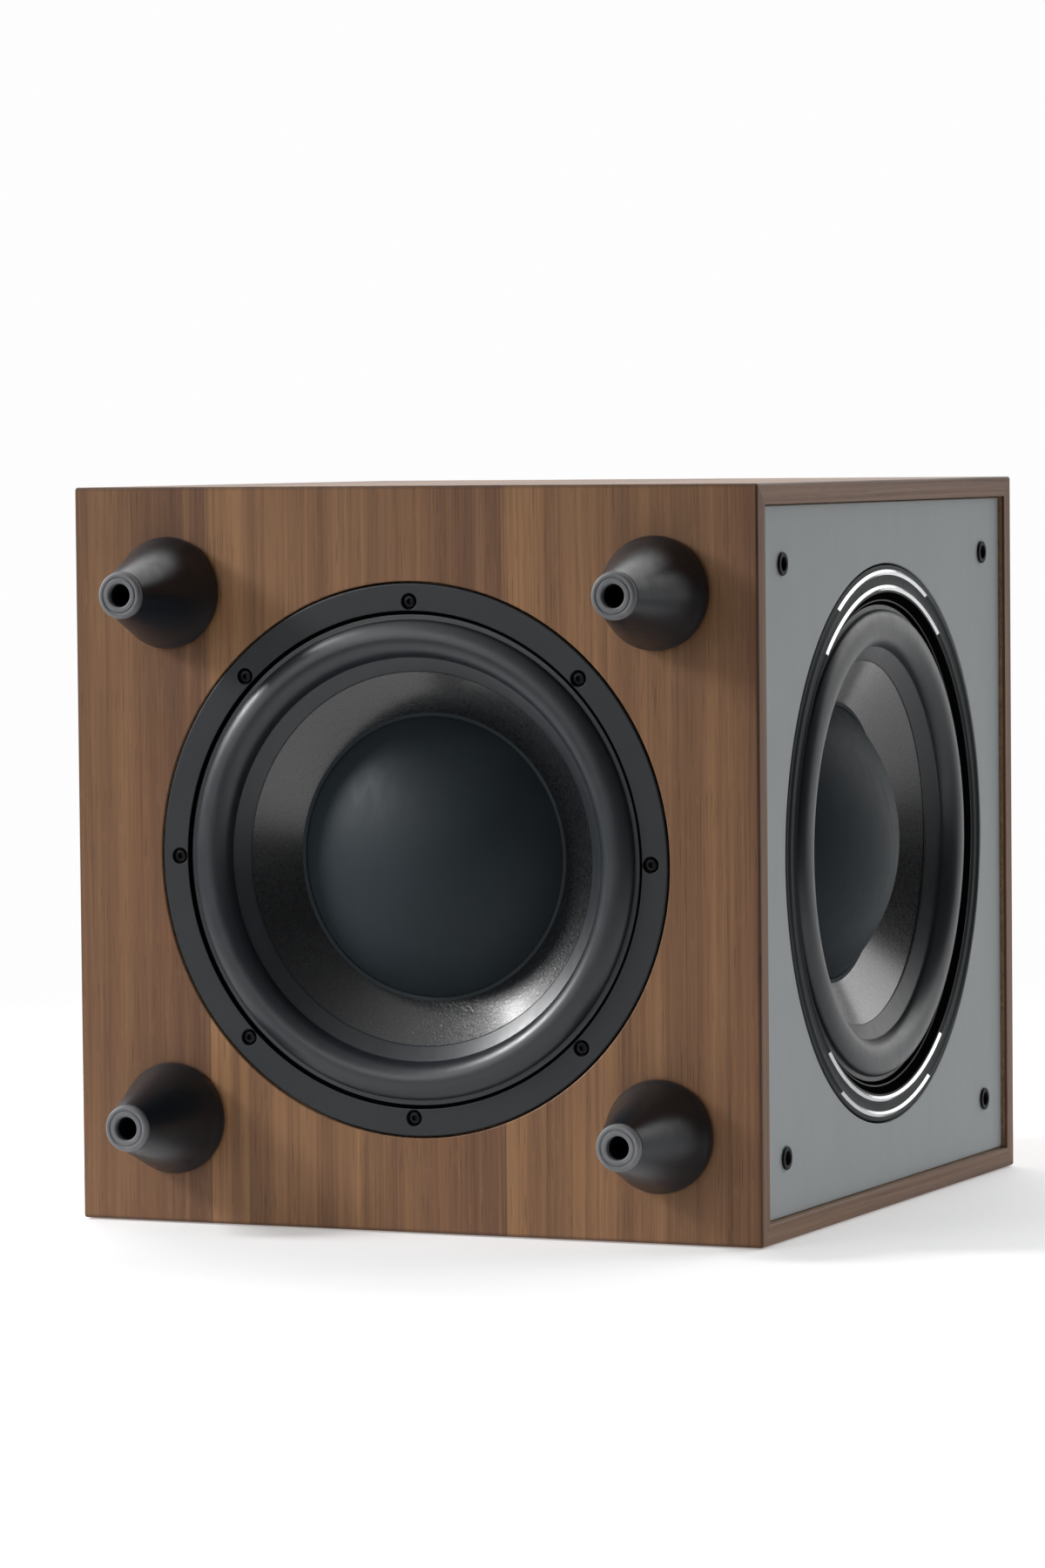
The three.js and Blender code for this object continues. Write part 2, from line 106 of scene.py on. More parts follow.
def make_camera():
    a, e, roll = (math.radians(CAMERA[k]) for k in ("azimuth", "elevation", "roll"))
    back = Vector((math.sin(a) * math.cos(e), -math.cos(a) * math.cos(e), math.sin(e)))
    right = Vector((math.cos(a), math.sin(a), 0))
    up = back.cross(right)
    right, up = math.cos(roll) * right + math.sin(roll) * up, math.cos(roll) * up - math.sin(roll) * right
    dx, dy = CAMERA["aim"]
    place = Vector((0, 0, HALF * MM)) - dx * right - dy * up + CAMERA["distance"] * back
    data = bpy.data.cameras.new("camera")
    data.lens, data.sensor_width, data.clip_end = CAMERA["lens"], 36, 60
    cam = bpy.data.objects.new("camera", data)
    bpy.context.scene.collection.objects.link(cam)
    cam.matrix_world = Matrix((
        (right.x, up.x, back.x, place.x), (right.y, up.y, back.y, place.y),
        (right.z, up.z, back.z, place.z), (0, 0, 0, 1)))
    bpy.context.scene.camera = cam


make_camera()

# ---------------------------------------------------------------- materials


def srgb(r, g, b):
    """An sRGB colour of 0 to 255 as a linear one."""
    def one(v):
        v /= 255
        return v / 12.92 if v <= 0.04045 else ((v + 0.055) / 1.055) ** 2.4
    return (one(r), one(g), one(b), 1.0)


class Paint:
    """Builds one node material. Each call adds a node and gives its output."""

    def __init__(self, name, rough=0.5, metallic=0.0, **shader):
        self.material = bpy.data.materials.new(name)
        self.material.use_nodes = True
        self.tree = self.material.node_tree
        self.shader = self.tree.nodes["Principled BSDF"]
        self.shader.inputs["Roughness"].default_value = rough
        self.shader.inputs["Metallic"].default_value = metallic
        for key, value in shader.items():
            self.shader.inputs[key.replace("_", " ").title().replace("Ior", "IOR")].default_value = value
        self.where = self.node("TexCoord", out="Object")

    def put(self, socket, value):
        if isinstance(value, bpy.types.NodeSocket):
            self.tree.links.new(value, socket)
        elif value is not None:
            socket.default_value = value

    def node(self, kind, *inputs, out=0, **settings):
        made = self.tree.nodes.new("ShaderNode" + kind)
        for key, value in settings.items():
            setattr(made, key, value)
        for i, value in enumerate(inputs):
            self.put(made.inputs[i], value)
        return made.outputs[out]

    def math(self, operation, *values, clamp=False):
        return self.node("Math", *values, operation=operation, use_clamp=clamp)

    def stretched(self, x, y, z, where=None):
        return self.node("VectorMath", where or self.where, (x, y, z), operation="MULTIPLY")

    def noise(self, vector, scale=1.0, detail=3.0, rough=0.55, distortion=0.0):
        made = self.tree.nodes.new("ShaderNodeTexNoise")
        for key, value in (("Vector", vector), ("Scale", scale), ("Detail", detail),
                           ("Roughness", rough), ("Distortion", distortion)):
            self.put(made.inputs[key], value)
        return made.outputs["Fac"]

    def cells(self, vector, scale, out="Distance", feature="F1"):
        made = self.tree.nodes.new("ShaderNodeTexVoronoi")
        made.feature = feature
        self.put(made.inputs["Vector"], vector)
        self.put(made.inputs["Scale"], scale)
        return made.outputs[out]

    def ramp(self, value, *stops):
        made = self.tree.nodes.new("ShaderNodeValToRGB")
        self.put(made.inputs[0], value)
        while len(made.color_ramp.elements) < len(stops):
            made.color_ramp.elements.new(0.5)
        for element, (place, colour) in zip(made.color_ramp.elements, stops):
            element.position = place
            element.color = colour if hasattr(colour, "__len__") else (colour, colour, colour, 1)
        return made.outputs[0]

    def span(self, value, low, high, to_low=0.0, to_high=1.0):
        return self.node("MapRange", value, low, high, to_low, to_high, interpolation_type="SMOOTHSTEP")

    def mix(self, share, a, b, blend="MIX"):
        made = self.tree.nodes.new("ShaderNodeMix")
        made.data_type, made.blend_type = "RGBA", blend
        for i, value in ((0, share), (6, a), (7, b)):
            self.put(made.inputs[i], value)
        return made.outputs[2]

    def done(self, colour=None, rough=None, bump=None, distance=0.0002, strength=1.0):
        self.put(self.shader.inputs["Base Color"], colour)
        self.put(self.shader.inputs["Roughness"], rough)
        if bump is not None:
            made = self.tree.nodes.new("ShaderNodeBump")
            made.inputs["Strength"].default_value = strength
            made.inputs["Distance"].default_value = distance
            self.put(made.inputs["Height"], bump)
            self.put(self.shader.inputs["Normal"], made.outputs[0])
        return self.material


def walnut(name, along):
    """Slip-matched walnut veneer. Its grain runs along Y or Z, and its leaves follow one another along X."""
    p = Paint(name, specular_ior_level=0.25)
    split = p.tree.nodes.new("ShaderNodeSeparateXYZ")
    p.put(split.inputs[0], p.where)
    x, y, z = split.outputs
    length, depth = (z, y) if along == "Z" else (y, z)
    middle = 0.0 if along == "Y" else HALF * MM
    turned = p.math("MULTIPLY", p.math("ABSOLUTE",
        p.math("SUBTRACT", depth, HALF * MM if along == "Y" else 0.0)), -1)
    across = p.math("SUBTRACT", x, p.math("ADD", turned, HALF * MM))
    leaf = p.math("DIVIDE", p.math("SUBTRACT", across, (SEAM - 2 * LEAF) * MM), LEAF * MM)
    inside = p.math("FRACT", leaf)
    number = p.math("FLOOR", leaf)
    wander = p.noise(p.node("CombineXYZ", 0.0, p.math("MULTIPLY", length, 2.2), number), 1.0, 1.0)
    sway = p.math("MULTIPLY", p.math("SUBTRACT", wander, 0.5), 0.035)
    place = p.node("CombineXYZ", p.math("ADD", inside, sway), length, p.math("MULTIPLY", number, 0.011))
    broad = p.noise(p.stretched(9.0, 1.1, 9.0, place), 1.0, 2.0)
    figure = p.noise(p.stretched(21.0, 1.7, 14.0, place), 1.0, 4.0, 0.6, 0.5)
    streak = p.noise(p.stretched(62.0, 3.2, 30.0, place), 1.0, 4.0, 0.65, 0.3)
    fibre = p.noise(p.stretched(330.0, 16.0, 60.0, place), 1.0, 2.0, 0.6)
    pores = p.noise(p.stretched(300.0, 42.0, 80.0, place), 1.0, 1.0, 0.4)
    pores = p.span(pores, 0.63, 0.72)
    fleck = p.noise(p.stretched(42.0, 62.0, 40.0, place), 1.0, 2.0)
    base = p.ramp(inside, (0.0, srgb(152, 112, 76)), (0.35, srgb(137, 99, 68)), (0.62, srgb(132, 96, 66)),
                  (0.85, srgb(114, 79, 55)), (1.0, srgb(106, 73, 52)))
    base = p.mix(p.span(broad, 0.35, 0.75, 0.0, 0.60), base, srgb(104, 72, 52))
    base = p.mix(p.span(figure, 0.42, 0.68, 0.0, 0.48), base, srgb(84, 56, 41))
    base = p.mix(p.span(figure, 0.48, 0.25, 0.0, 0.34), base, srgb(170, 128, 90))
    base = p.mix(p.span(streak, 0.46, 0.72, 0.0, 0.42), base, srgb(74, 49, 36))
    base = p.mix(p.span(fibre, 0.30, 0.70, 0.14, 0.0), base, srgb(168, 130, 94))
    base = p.mix(p.span(fleck, 0.58, 0.75, 0.0, 0.14), base, srgb(158, 118, 86))
    base = p.mix(p.math("MULTIPLY", pores, 0.34), base, srgb(48, 32, 24))
    seam = p.span(p.math("ABSOLUTE", p.math("SUBTRACT", p.math("FRACT", p.math("ADD", leaf, 0.5)), 0.5)),
                  0.0008, 0.0035, 0.35, 0.0)
    base = p.mix(seam, base, srgb(72, 50, 40))
    # Painted shade: a darker band along each panel's outer edges, lighter again on the rounding itself.
    rim = p.math("MAXIMUM", p.math("ABSOLUTE", x), p.math("ABSOLUTE", p.math("SUBTRACT", length, middle)))
    edge = p.math("MULTIPLY", p.span(rim, 0.1729, 0.1743, 0.0, 0.5), p.span(rim, 0.17465, 0.17499, 1.0, 0.25))
    base = p.mix(edge, base, srgb(52, 37, 31))
    rough = p.span(streak, 0.3, 0.7, 0.42, 0.54)
    height = p.math("SUBTRACT", p.math("MULTIPLY", fibre, 0.5), pores)
    return p.done(base, rough, height, 0.00006, 0.6)


def moulded(name, colour, rough, grain=2600.0, bump=0.00004, coarse=60.0, spread=0.16, metallic=0.0,
        **shader):
    """A moulded, cast or painted surface: fine grain, slow tone changes, and dust worn into its roughness."""
    p = Paint(name, metallic=metallic, **shader)
    slow = p.noise(p.where, coarse, 3.0)
    fine = p.noise(p.where, grain, 2.0, 0.7)
    scuff = p.noise(p.stretched(1.0, 1.0, 0.25), coarse * 9, 2.0)
    dark = tuple(c * (1 - spread) for c in colour[:3]) + (1.0,)
    light = tuple(c * (1 + spread) for c in colour[:3]) + (1.0,)
    tone = p.mix(p.span(slow, 0.3, 0.7), dark, light)
    tone = p.mix(p.span(fine, 0.35, 0.75, 0.0, 0.12), tone,
        tuple(min(1.0, c * 1.35 + 0.003) for c in colour[:3]) + (1.0,))
    worn = p.math("ADD", p.span(scuff, 0.35, 0.7, -0.02, 0.03),
        p.span(slow, 0.3, 0.7, rough - 0.015, rough + 0.015))
    return p.done(tone, worn, fine, bump)


def brushed(name, colour, rough, stretch=(1, 1, 60), **shader):
    """Turned or drawn metal with fine lines."""
    p = Paint(name, metallic=1.0, **shader)
    lines = p.noise(p.stretched(*(3000.0 / s for s in stretch)), 1.0, 2.0, 0.7)
    slow = p.noise(p.where, 70.0, 2.0)
    tone = p.mix(p.span(lines, 0.3, 0.7, 0.0, 0.35), colour, tuple(c * 0.72 for c in colour[:3]) + (1.0,))
    tone = p.mix(p.span(slow, 0.45, 0.75, 0.0, 0.2), tone, tuple(c * 0.6 for c in colour[:3]) + (1.0,))
    return p.done(tone, p.span(lines, 0.3, 0.7, rough - 0.06, rough + 0.1), lines, 0.00001)


def board(name):
    p = Paint(name, rough=0.85)
    fibre = p.noise(p.stretched(900, 900, 300), 1.0, 3.0, 0.7)
    chips = p.cells(p.stretched(1, 1, 0.6), 420.0)
    tone = p.mix(p.span(fibre, 0.3, 0.7), srgb(128, 100, 72), srgb(168, 138, 104))
    tone = p.mix(p.span(chips, 0.0, 0.5, 0.35, 0.0), tone, srgb(98, 74, 52))
    return p.done(tone, p.span(fibre, 0.3, 0.7, 0.78, 0.92), fibre, 0.00015)


def felt(name, dark, light):
    p = Paint(name, rough=0.95, sheen_weight=0.3)
    tangle = p.noise(p.where, 1300.0, 4.0, 0.75, 1.5)
    clump = p.noise(p.where, 160.0, 3.0)
    tone = p.mix(p.span(tangle, 0.3, 0.7), dark, light)
    tone = p.mix(p.span(clump, 0.4, 0.7, 0.0, 0.4), tone, dark)
    return p.done(tone, p.span(tangle, 0.3, 0.7, 0.88, 1.0), p.math("ADD", tangle, clump), 0.0006)


def paper_cone(name):
    """Pressed pulp under a clear satin coat, with fibres that catch the light."""
    p = Paint(name, specular_ior_level=0.25, coat_weight=1.0, coat_roughness=0.19, coat_ior=1.72)
    pulp = p.noise(p.where, 620.0, 4.0, 0.7, 0.8)
    lint = p.noise(p.where, 2100.0, 2.0, 0.6)
    pits = p.cells(p.where, 760.0)
    slow = p.noise(p.where, 45.0, 2.0)
    tone = p.mix(p.span(pulp, 0.3, 0.7), srgb(8, 10, 12), srgb(24, 26, 29))
    tone = p.mix(p.span(lint, 0.55, 0.75, 0.0, 0.18), tone, srgb(60, 63, 66))
    tone = p.mix(p.span(slow, 0.4, 0.7, 0.0, 0.3), tone, srgb(10, 12, 14))
    height = p.math("ADD", p.math("MULTIPLY", pulp, 1.0), p.math("MULTIPLY", pits, 0.6))
    return p.done(tone, p.span(pulp, 0.3, 0.7, 0.22, 0.38), height, 0.00018)


def woven(name):
    p = Paint(name, rough=0.9)
    split = p.tree.nodes.new("ShaderNodeSeparateXYZ")
    p.put(split.inputs[0], p.where)
    x, y, z = split.outputs
    warp = p.math("SINE", p.math("MULTIPLY", p.math("ADD", x, y), 5200.0))
    weft = p.math("SINE", p.math("MULTIPLY", z, 5200.0))
    weave = p.span(p.math("MULTIPLY", warp, weft), -1.0, 1.0)
    slow = p.noise(p.where, 120.0, 2.0)
    tone = p.mix(weave, srgb(150, 108, 48), srgb(214, 172, 98))
    tone = p.mix(p.span(slow, 0.4, 0.7, 0.0, 0.4), tone, srgb(126, 88, 40))
    return p.done(tone, p.span(weave, 0.0, 1.0, 0.8, 0.95), weave, 0.0002)


def windings(name):
    p = Paint(name, metallic=0.85)
    turn = p.tree.nodes.new("ShaderNodeTexWave")
    turn.inputs["Scale"].default_value = 420.0
    turn.inputs["Distortion"].default_value = 1.5
    p.put(turn.inputs["Vector"], p.where)
    tone = p.mix(turn.outputs["Fac"], srgb(120, 54, 28), srgb(206, 118, 70))
    return p.done(tone, p.span(turn.outputs["Fac"], 0.0, 1.0, 0.28, 0.42), turn.outputs["Fac"], 0.0003)


def circuit(name):
    p = Paint(name, rough=0.45, coat_weight=0.4)
    tracks = p.cells(p.stretched(1, 1, 1), 260.0, feature="DISTANCE_TO_EDGE")
    mask = p.noise(p.where, 500.0, 2.0)
    tone = p.mix(p.span(tracks, 0.02, 0.06, 0.7, 0.0), srgb(18, 74, 40), srgb(70, 140, 78))
    tone = p.mix(p.span(mask, 0.4, 0.7, 0.0, 0.25), tone, srgb(12, 50, 28))
    return p.done(tone, p.span(mask, 0.3, 0.7, 0.38, 0.5), tracks, 0.0001)


MAT = {
    "veneer_z": walnut("veneer_z", "Z"),
    "veneer_y": walnut("veneer_y", "Y"),
    "baffle": moulded("baffle_paint", srgb(150, 155, 157), 0.5, 1500.0, 0.00002, 12.0, 0.015,
        specular_ior_level=0.25),
    "board": board("raw_board"),
    "rear": moulded("rear_vinyl", srgb(24, 24, 25), 0.55, 1400.0, 0.00012, 30.0),
    "felt": felt("felt", srgb(92, 92, 88), srgb(158, 156, 150)),
    "foam": felt("foam", srgb(18, 18, 19), srgb(42, 42, 44)),
    # Painted shade: a flat black laid on the chassis shelf and the trim ring's inner bevel, where shade
    # falls.
    "painted_shade": moulded("painted_shade_black", srgb(8, 8, 9), 0.8, 2200.0, 0.00003, 90.0, 0.1, specular_ior_level=0.0),
    "foot": moulded("foot_black", srgb(20, 26, 33), 0.31, 2400.0, 0.000006, 30.0, 0.06,
        specular_ior_level=0.55),
    "pad": moulded("pad_grey", srgb(104, 105, 108), 0.55, 1800.0, 0.00006, 90.0),
    "socket": moulded("socket_rubber", srgb(10, 11, 12), 0.6, 2200.0, 0.00003, 90.0, 0.1,
        specular_ior_level=0.22),
    "chassis": moulded("chassis_black", srgb(25, 29, 34), 0.50, 1900.0, 0.00006, 30.0, 0.08,
        specular_ior_level=0.42),
    "rubber": moulded("surround_rubber", srgb(33, 37, 42), 0.37, 1600.0, 0.00003, 30.0, 0.08,
        specular_ior_level=0.6),
    "cone": paper_cone("cone_paper"),
    "cap": moulded("cap_black", srgb(35, 43, 48), 0.6, 1500.0, 0.00003, 26.0, 0.06, specular_ior_level=0.2),
    "spider": woven("spider_cloth"),
    "screw": moulded("screw_black", srgb(30, 30, 32), 0.34, 2600.0, 0.00003, 200.0, 0.3, metallic=0.9),
    "steel": brushed("steel", srgb(172, 173, 176), 0.32),
    "trim": moulded("trim_black", srgb(34, 38, 40), 0.55, 2600.0, 0.00002, 50.0, 0.05,
        specular_ior_level=0.2),
    # Painted highlight: bright polished metal for the trim ring's highlight arcs.
    "cut": brushed("painted_highlight_polish", srgb(228, 229, 231), 0.13, (1, 40, 40)),
    "ferrite": moulded("ferrite", srgb(46, 46, 48), 0.72, 1100.0, 0.00020, 80.0, 0.2),
    "copper": windings("copper_wire"),
    "plate": moulded("amp_black", srgb(26, 27, 28), 0.52, 1200.0, 0.00020, 40.0, 0.12, metallic=0.25),
    "aluminium": brushed("aluminium", srgb(196, 198, 201), 0.36, (60, 1, 1)),
    "circuit": circuit("circuit"),
    "plastic": moulded("black_plastic", srgb(22, 22, 23), 0.42, 2000.0, 0.00006, 70.0),
    "white_print": moulded("white_print", srgb(206, 206, 204), 0.6, 2600.0, 0.00002, 120.0, 0.06),
    "white_ring": moulded("white_ring", srgb(214, 212, 206), 0.4, 1800.0, 0.00003, 120.0, 0.05),
    "red_ring": moulded("red_ring", srgb(150, 24, 22), 0.4, 1800.0, 0.00003, 120.0, 0.1),
    "gold": brushed("gold", srgb(216, 176, 92), 0.24),
    "lens": moulded("light_lens", srgb(52, 98, 196), 0.18, 900.0, 0.00003, 300.0, 0.2, coat_weight=0.6),
}

# ---------------------------------------------------------------- shapes


def rounded(points, closed=True, steps=5):
    """A profile of (radius, out[, setback]) whose corners are rounded over their setback."""
    made, n = [], len(points)
    for i, point in enumerate(points):
        here = Vector(point[:2])
        setback = point[2] if len(point) > 2 else 0
        if not setback or (not closed and i in (0, n - 1)):
            made.append(here)
            continue
        before = Vector(points[i - 1][:2]) - here
        after = Vector(points[(i + 1) % n][:2]) - here
        start = here + before.normalized() * min(setback, 0.48 * before.length)
        end = here + after.normalized() * min(setback, 0.48 * after.length)
        for k in range(steps + 1):
            t = k / steps
            made.append((1 - t) ** 2 * start + 2 * t * (1 - t) * here + t * t * end)
    return made


def solid(name, verts, faces, place=None):
    """A clean closed mesh from local millimetres, in the row frame's metres."""
    mesh = bpy.data.meshes.new(name)
    place = place or Matrix.Identity(4)
    mesh.from_pydata([(place @ Vector(v)) * MM for v in verts], [], faces)
    bm = bmesh.new()
    bm.from_mesh(mesh)
    bmesh.ops.remove_doubles(bm, verts=bm.verts, dist=1e-6)
    bmesh.ops.dissolve_degenerate(bm, dist=1e-6, edges=bm.edges)
    bmesh.ops.recalc_face_normals(bm, faces=bm.faces)
    bm.to_mesh(mesh)
    bm.free()
    obj = bpy.data.objects.new(name, mesh)
    bpy.context.scene.collection.objects.link(obj)
    return obj


def lathe(name, profile, place, steps=144, shift=(0.0, 0.0), flutes=None):
    """Turned about the frame's out axis. A profile that starts on the axis ends there too, and any other
    closes on itself. flutes is (count, depth, from_out, to_out): the radius ripples between those heights."""
    open_ends = profile[0][0] == 0
    verts, rings = [], []
    for radius, out in rounded(profile, closed=not open_ends):
        start = len(verts)
        if radius < 1e-6:
            verts.append((shift[0], shift[1], out))
        else:
            for k in range(steps):
                angle = 2 * math.pi * k / steps
                r = radius
                if flutes and flutes[2] <= out <= flutes[3]:
                    r += flutes[1] * math.cos(flutes[0] * angle)
                verts.append((shift[0] + r * math.cos(angle), shift[1] + r * math.sin(angle), out))
        rings.append(range(start, len(verts)))
    faces = []
    for low, high in zip(rings, rings[1:] if open_ends else rings[1:] + rings[:1]):
        for a in range(steps):
            b = (a + 1) % steps
            if len(low) == 1 and len(high) == 1:
                break
            if len(low) == 1:
                faces.append((low[0], high[b], high[a]))
            elif len(high) == 1:
                faces.append((low[a], low[b], high[0]))
            else:
                faces.append((low[a], low[b], high[b], high[a]))
    return solid(name, verts, faces, place)


def prism(name, outline, low, high, place, bevel=0.0, segments=3):
    """An outline of (across, up) from out low to out high, with its end edges rounded."""
    n = len(outline)
    verts = [(a, b, low) for a, b in outline] + [(a, b, high) for a, b in outline]
    faces = [tuple(range(n)), tuple(range(n, 2 * n))]
    faces += [(i, (i + 1) % n, n + (i + 1) % n, n + i) for i in range(n)]
    obj = solid(name, verts, faces, place)
    if bevel:
        bm = bmesh.new()
        bm.from_mesh(obj.data)
        out = (place.to_3x3() @ Vector((0, 0, 1))).normalized()
        caps = [f for f in bm.faces if abs(f.normal.dot(out)) > 0.99]
        edges = {e for f in caps for e in f.edges}
        bmesh.ops.bevel(bm, geom=list(edges), offset=bevel * MM, segments=segments, profile=0.5,
            affect="EDGES")
        bm.to_mesh(obj.data)
        bm.free()
    return obj


def rectangle(width, height, radius=0.0, centre=(0.0, 0.0), steps=6):
    """A rectangle's outline, width across and height up, with round corners."""
    a, b = width / 2 - radius, height / 2 - radius
    made = []
    for i, (sa, sb) in enumerate(((1, 1), (-1, 1), (-1, -1), (1, -1))):
        if not radius:
            made.append((centre[0] + sa * a, centre[1] + sb * b))
            continue
        for k in range(steps + 1):
            angle = math.pi / 2 * (i + k / steps)
            made.append((centre[0] + sa * a + radius * math.cos(angle),
                centre[1] + sb * b + radius * math.sin(angle)))
    return made


def block(name, low, high, place, bevel=0.4, segments=3):
    """A box between two local corners, with every edge rounded."""
    obj = prism(name, [(low[0], low[1]), (high[0], low[1]), (high[0], high[1]), (low[0], high[1])], low[2],
        high[2], place)
    if bevel:
        bm = bmesh.new()
        bm.from_mesh(obj.data)
        bmesh.ops.bevel(bm, geom=bm.edges[:], offset=bevel * MM, segments=segments, profile=0.5,
            affect="EDGES")
        bm.to_mesh(obj.data)
        bm.free()
    return obj


def settle(obj):
    """Applies the object's modifiers."""
    bpy.context.view_layer.update()
    graph = bpy.context.evaluated_depsgraph_get()
    mesh = bpy.data.meshes.new_from_object(obj.evaluated_get(graph))
    obj.modifiers.clear()
    obj.data = mesh


def combined(obj, tools, operation):
    """One boolean after another, worked out in millimetres so that small features survive."""
    for body in (obj, *tools):
        body.data.transform(Matrix.Scale(1 / MM, 4))
    for tool in tools:
        step = obj.modifiers.new(operation, "BOOLEAN")
        step.object, step.operation, step.solver = tool, operation, "EXACT"
        settle(obj)
        bpy.data.objects.remove(tool)
    bm = bmesh.new()
    bm.from_mesh(obj.data)
    bmesh.ops.remove_doubles(bm, verts=bm.verts, dist=0.004)
    bmesh.ops.dissolve_degenerate(bm, dist=0.002, edges=bm.edges)
    bmesh.ops.holes_fill(bm, edges=[e for e in bm.edges if e.is_boundary], sides=0)
    bmesh.ops.recalc_face_normals(bm, faces=bm.faces)
    bm.to_mesh(obj.data)
    bm.free()
    obj.data.transform(Matrix.Scale(MM, 4))
    return obj


def cut(obj, tools):
    return combined(obj, tools, "DIFFERENCE")


def joined(name, parts):
    """Separate bodies in one mesh."""
    bm = bmesh.new()
    for part in parts:
        bm.from_mesh(part.data)
    mesh = bpy.data.meshes.new(name)
    bm.to_mesh(mesh)
    bm.free()
    for part in parts:
        bpy.data.objects.remove(part)
    obj = bpy.data.objects.new(name, mesh)
    bpy.context.scene.collection.objects.link(obj)
    return obj


def circle_places(radius, count=8):
    return [(radius * math.sin(2 * math.pi * i / count),
        radius * math.cos(2 * math.pi * i / count)) for i in range(count)]


def corners(place):
    return [(-place, place), (place, place), (place, -place), (-place, -place)]


def dressed(obj, materials, angle=32.0, marks=None):
    """Gives a piece its materials and its shading. marks gives each face a material number."""
    obj.data.materials.clear()
    for key in [materials] if isinstance(materials, str) else materials:
        obj.data.materials.append(MAT[key])
    for face in obj.data.polygons:
        face.material_index = marks(face) if marks else 0
    obj.data.shade_smooth()
    obj.data.set_sharp_from_angle(angle=math.radians(angle))
    step = obj.modifiers.new("normals", "WEIGHTED_NORMAL")
    step.keep_sharp, step.weight = True, 100
    settle(obj)
    return obj


def fitted(obj, body, *nodes):
    """The piece rides on its body and stands for those CAD nodes."""
    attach(obj, body)
    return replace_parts(obj, *nodes) if nodes else obj


def hole(radius, depth, place, shift=(0.0, 0.0), mouth=0.4, steps=144, top=0.0):
    """A cutter for a round hole from out = top down to depth, with a softened mouth."""
    return lathe("cutter", [
        (0, top + 2), (radius + mouth * 1.9, top + 2), (radius + mouth * 1.9, top + mouth * 0.5),
        (radius + mouth * 0.3, top - mouth * 0.45), (radius, top - mouth), (radius, depth), (0, depth)],
        place, steps, shift)


# ---------------------------------------------------------------- cabinet


def panel(name, place):
    """A mitred panel. Across is X, up runs along it, and both outer edges are rounded to their mitre."""
    def ring(x, radius, depth):
        middle = HALF - EDGE
        turn = [math.radians(45 * k / 4) for k in range(5)]
        arc = [(middle + radius * math.sin(t), radius * math.cos(t) - EDGE) for t in turn]
        left = [(-w, out) for w, out in reversed(arc)]
        return [(x, w, out) for w, out in [(depth - HALF, -depth), *left, *arc, (HALF - depth, -depth)]]

    ends = []
    for degrees in (0, 22.5, 45, 67.5, 90):
        x = HALF - EDGE + EDGE * math.sin(math.radians(degrees))
        ends.append((x, EDGE * math.cos(math.radians(degrees)), LIP - max(0.0, x - HALF + 0.5)))
    front, rear = HALF - RECESS - PANEL, HALF - PANEL
    stations = [(-x, radius, depth) for x, radius, depth in reversed(ends)]
    stations += [(-rear, EDGE, LIP), (-rear, EDGE, PANEL), (front, EDGE, PANEL), (front, EDGE, LIP), *ends]
    verts, faces, size = [], [], 12
    for station in stations:
        verts += ring(*station)
    for i in range(len(stations) - 1):
        for k in range(size):
            a, b = i * size + k, i * size + (k + 1) % size
            faces.append((a, b, b + size, a + size))
    faces += [tuple(range(size)), tuple(range(len(verts) - size, len(verts)))]
    return solid(name, verts, faces, place)


def raw_face(obj, place, thickness):
    """Marks the faces of a panel that show bare board: the inner ones and the rebates."""
    inverse = place.inverted()

    def mark(face):
        x, w, out = inverse @ (face.center / MM)
        return int(out < -0.5 and abs(x) < HALF - 1.2 or out < -thickness + 0.2)
    return mark


def make_cabinet():
    for name, place, veneer, node in (
            ("walnut_lower", LOWER, "veneer_y", "side_panel_lower"),
            ("walnut_upper", UPPER, "veneer_y", "side_panel_upper"),
            ("walnut_top", TOP, "veneer_z", "top_panel"),
            ("walnut_bottom", UNDER, "veneer_z", "bottom_panel")):
        obj = panel(name, place)
        if node == "bottom_panel":
            cut(obj, [hole(REBATE_R, -6, UNDER), hole(BOWL_R, -20, UNDER, steps=96)])
        dressed(obj, [veneer, "board"], 30, marks=raw_face(obj, place, PANEL))
        fitted(obj, "cabinet", node)

    face = block("front_face", (-INSERT + 0.25, -INSERT + 0.25, -PANEL), (INSERT - 0.25, INSERT - 0.25, 0),
        BAFFLE, 0.8)
    tools = [hole(SEAT_R, -9, BAFFLE, mouth=0.5), hole(BOWL_R, -20, BAFFLE, steps=96)]
    tools += [hole(4.9, -20, BAFFLE, shift, 0.2, 32) for shift in corners(SOCKET_PLACE)]
    fitted(dressed(cut(face, tools), "baffle"), "cabinet", "front_baffle")
    for i, shift in enumerate(corners(SOCKET_PLACE), 1):
        cup = lathe(f"socket_{i}", [
            (0, -14), (4.6, -14), (4.6, 0.3), (5.5, 0.3, 0.1), (5.5, 1.3, 0.6), (3.4, 1.3, 0.5),
            (3.4, -3, 0.2),
            (3.0, -3.4, 0.2), (3.0, -12), (0, -12)], BAFFLE, 64, shift)
        fitted(dressed(cup, "socket"), "cabinet", f"grille_socket_{i}")

    back = block("rear_face", (-INSERT + 0.25, -INSERT + 0.25, -PANEL), (INSERT - 0.25, INSERT - 0.25, 0),
        REAR, 0.8)
    seat = prism("cutter", rectangle(PLATE[0] + 1, PLATE[1] + 1, 6.5), -3.3, 2, REAR)
    through = prism("cutter", rectangle(PLATE[0] - 20, PLATE[1] - 20, 4), -PANEL - 2, 1, REAR)
    fitted(dressed(cut(back, [seat, through]), "rear"), "cabinet", "rear_panel")


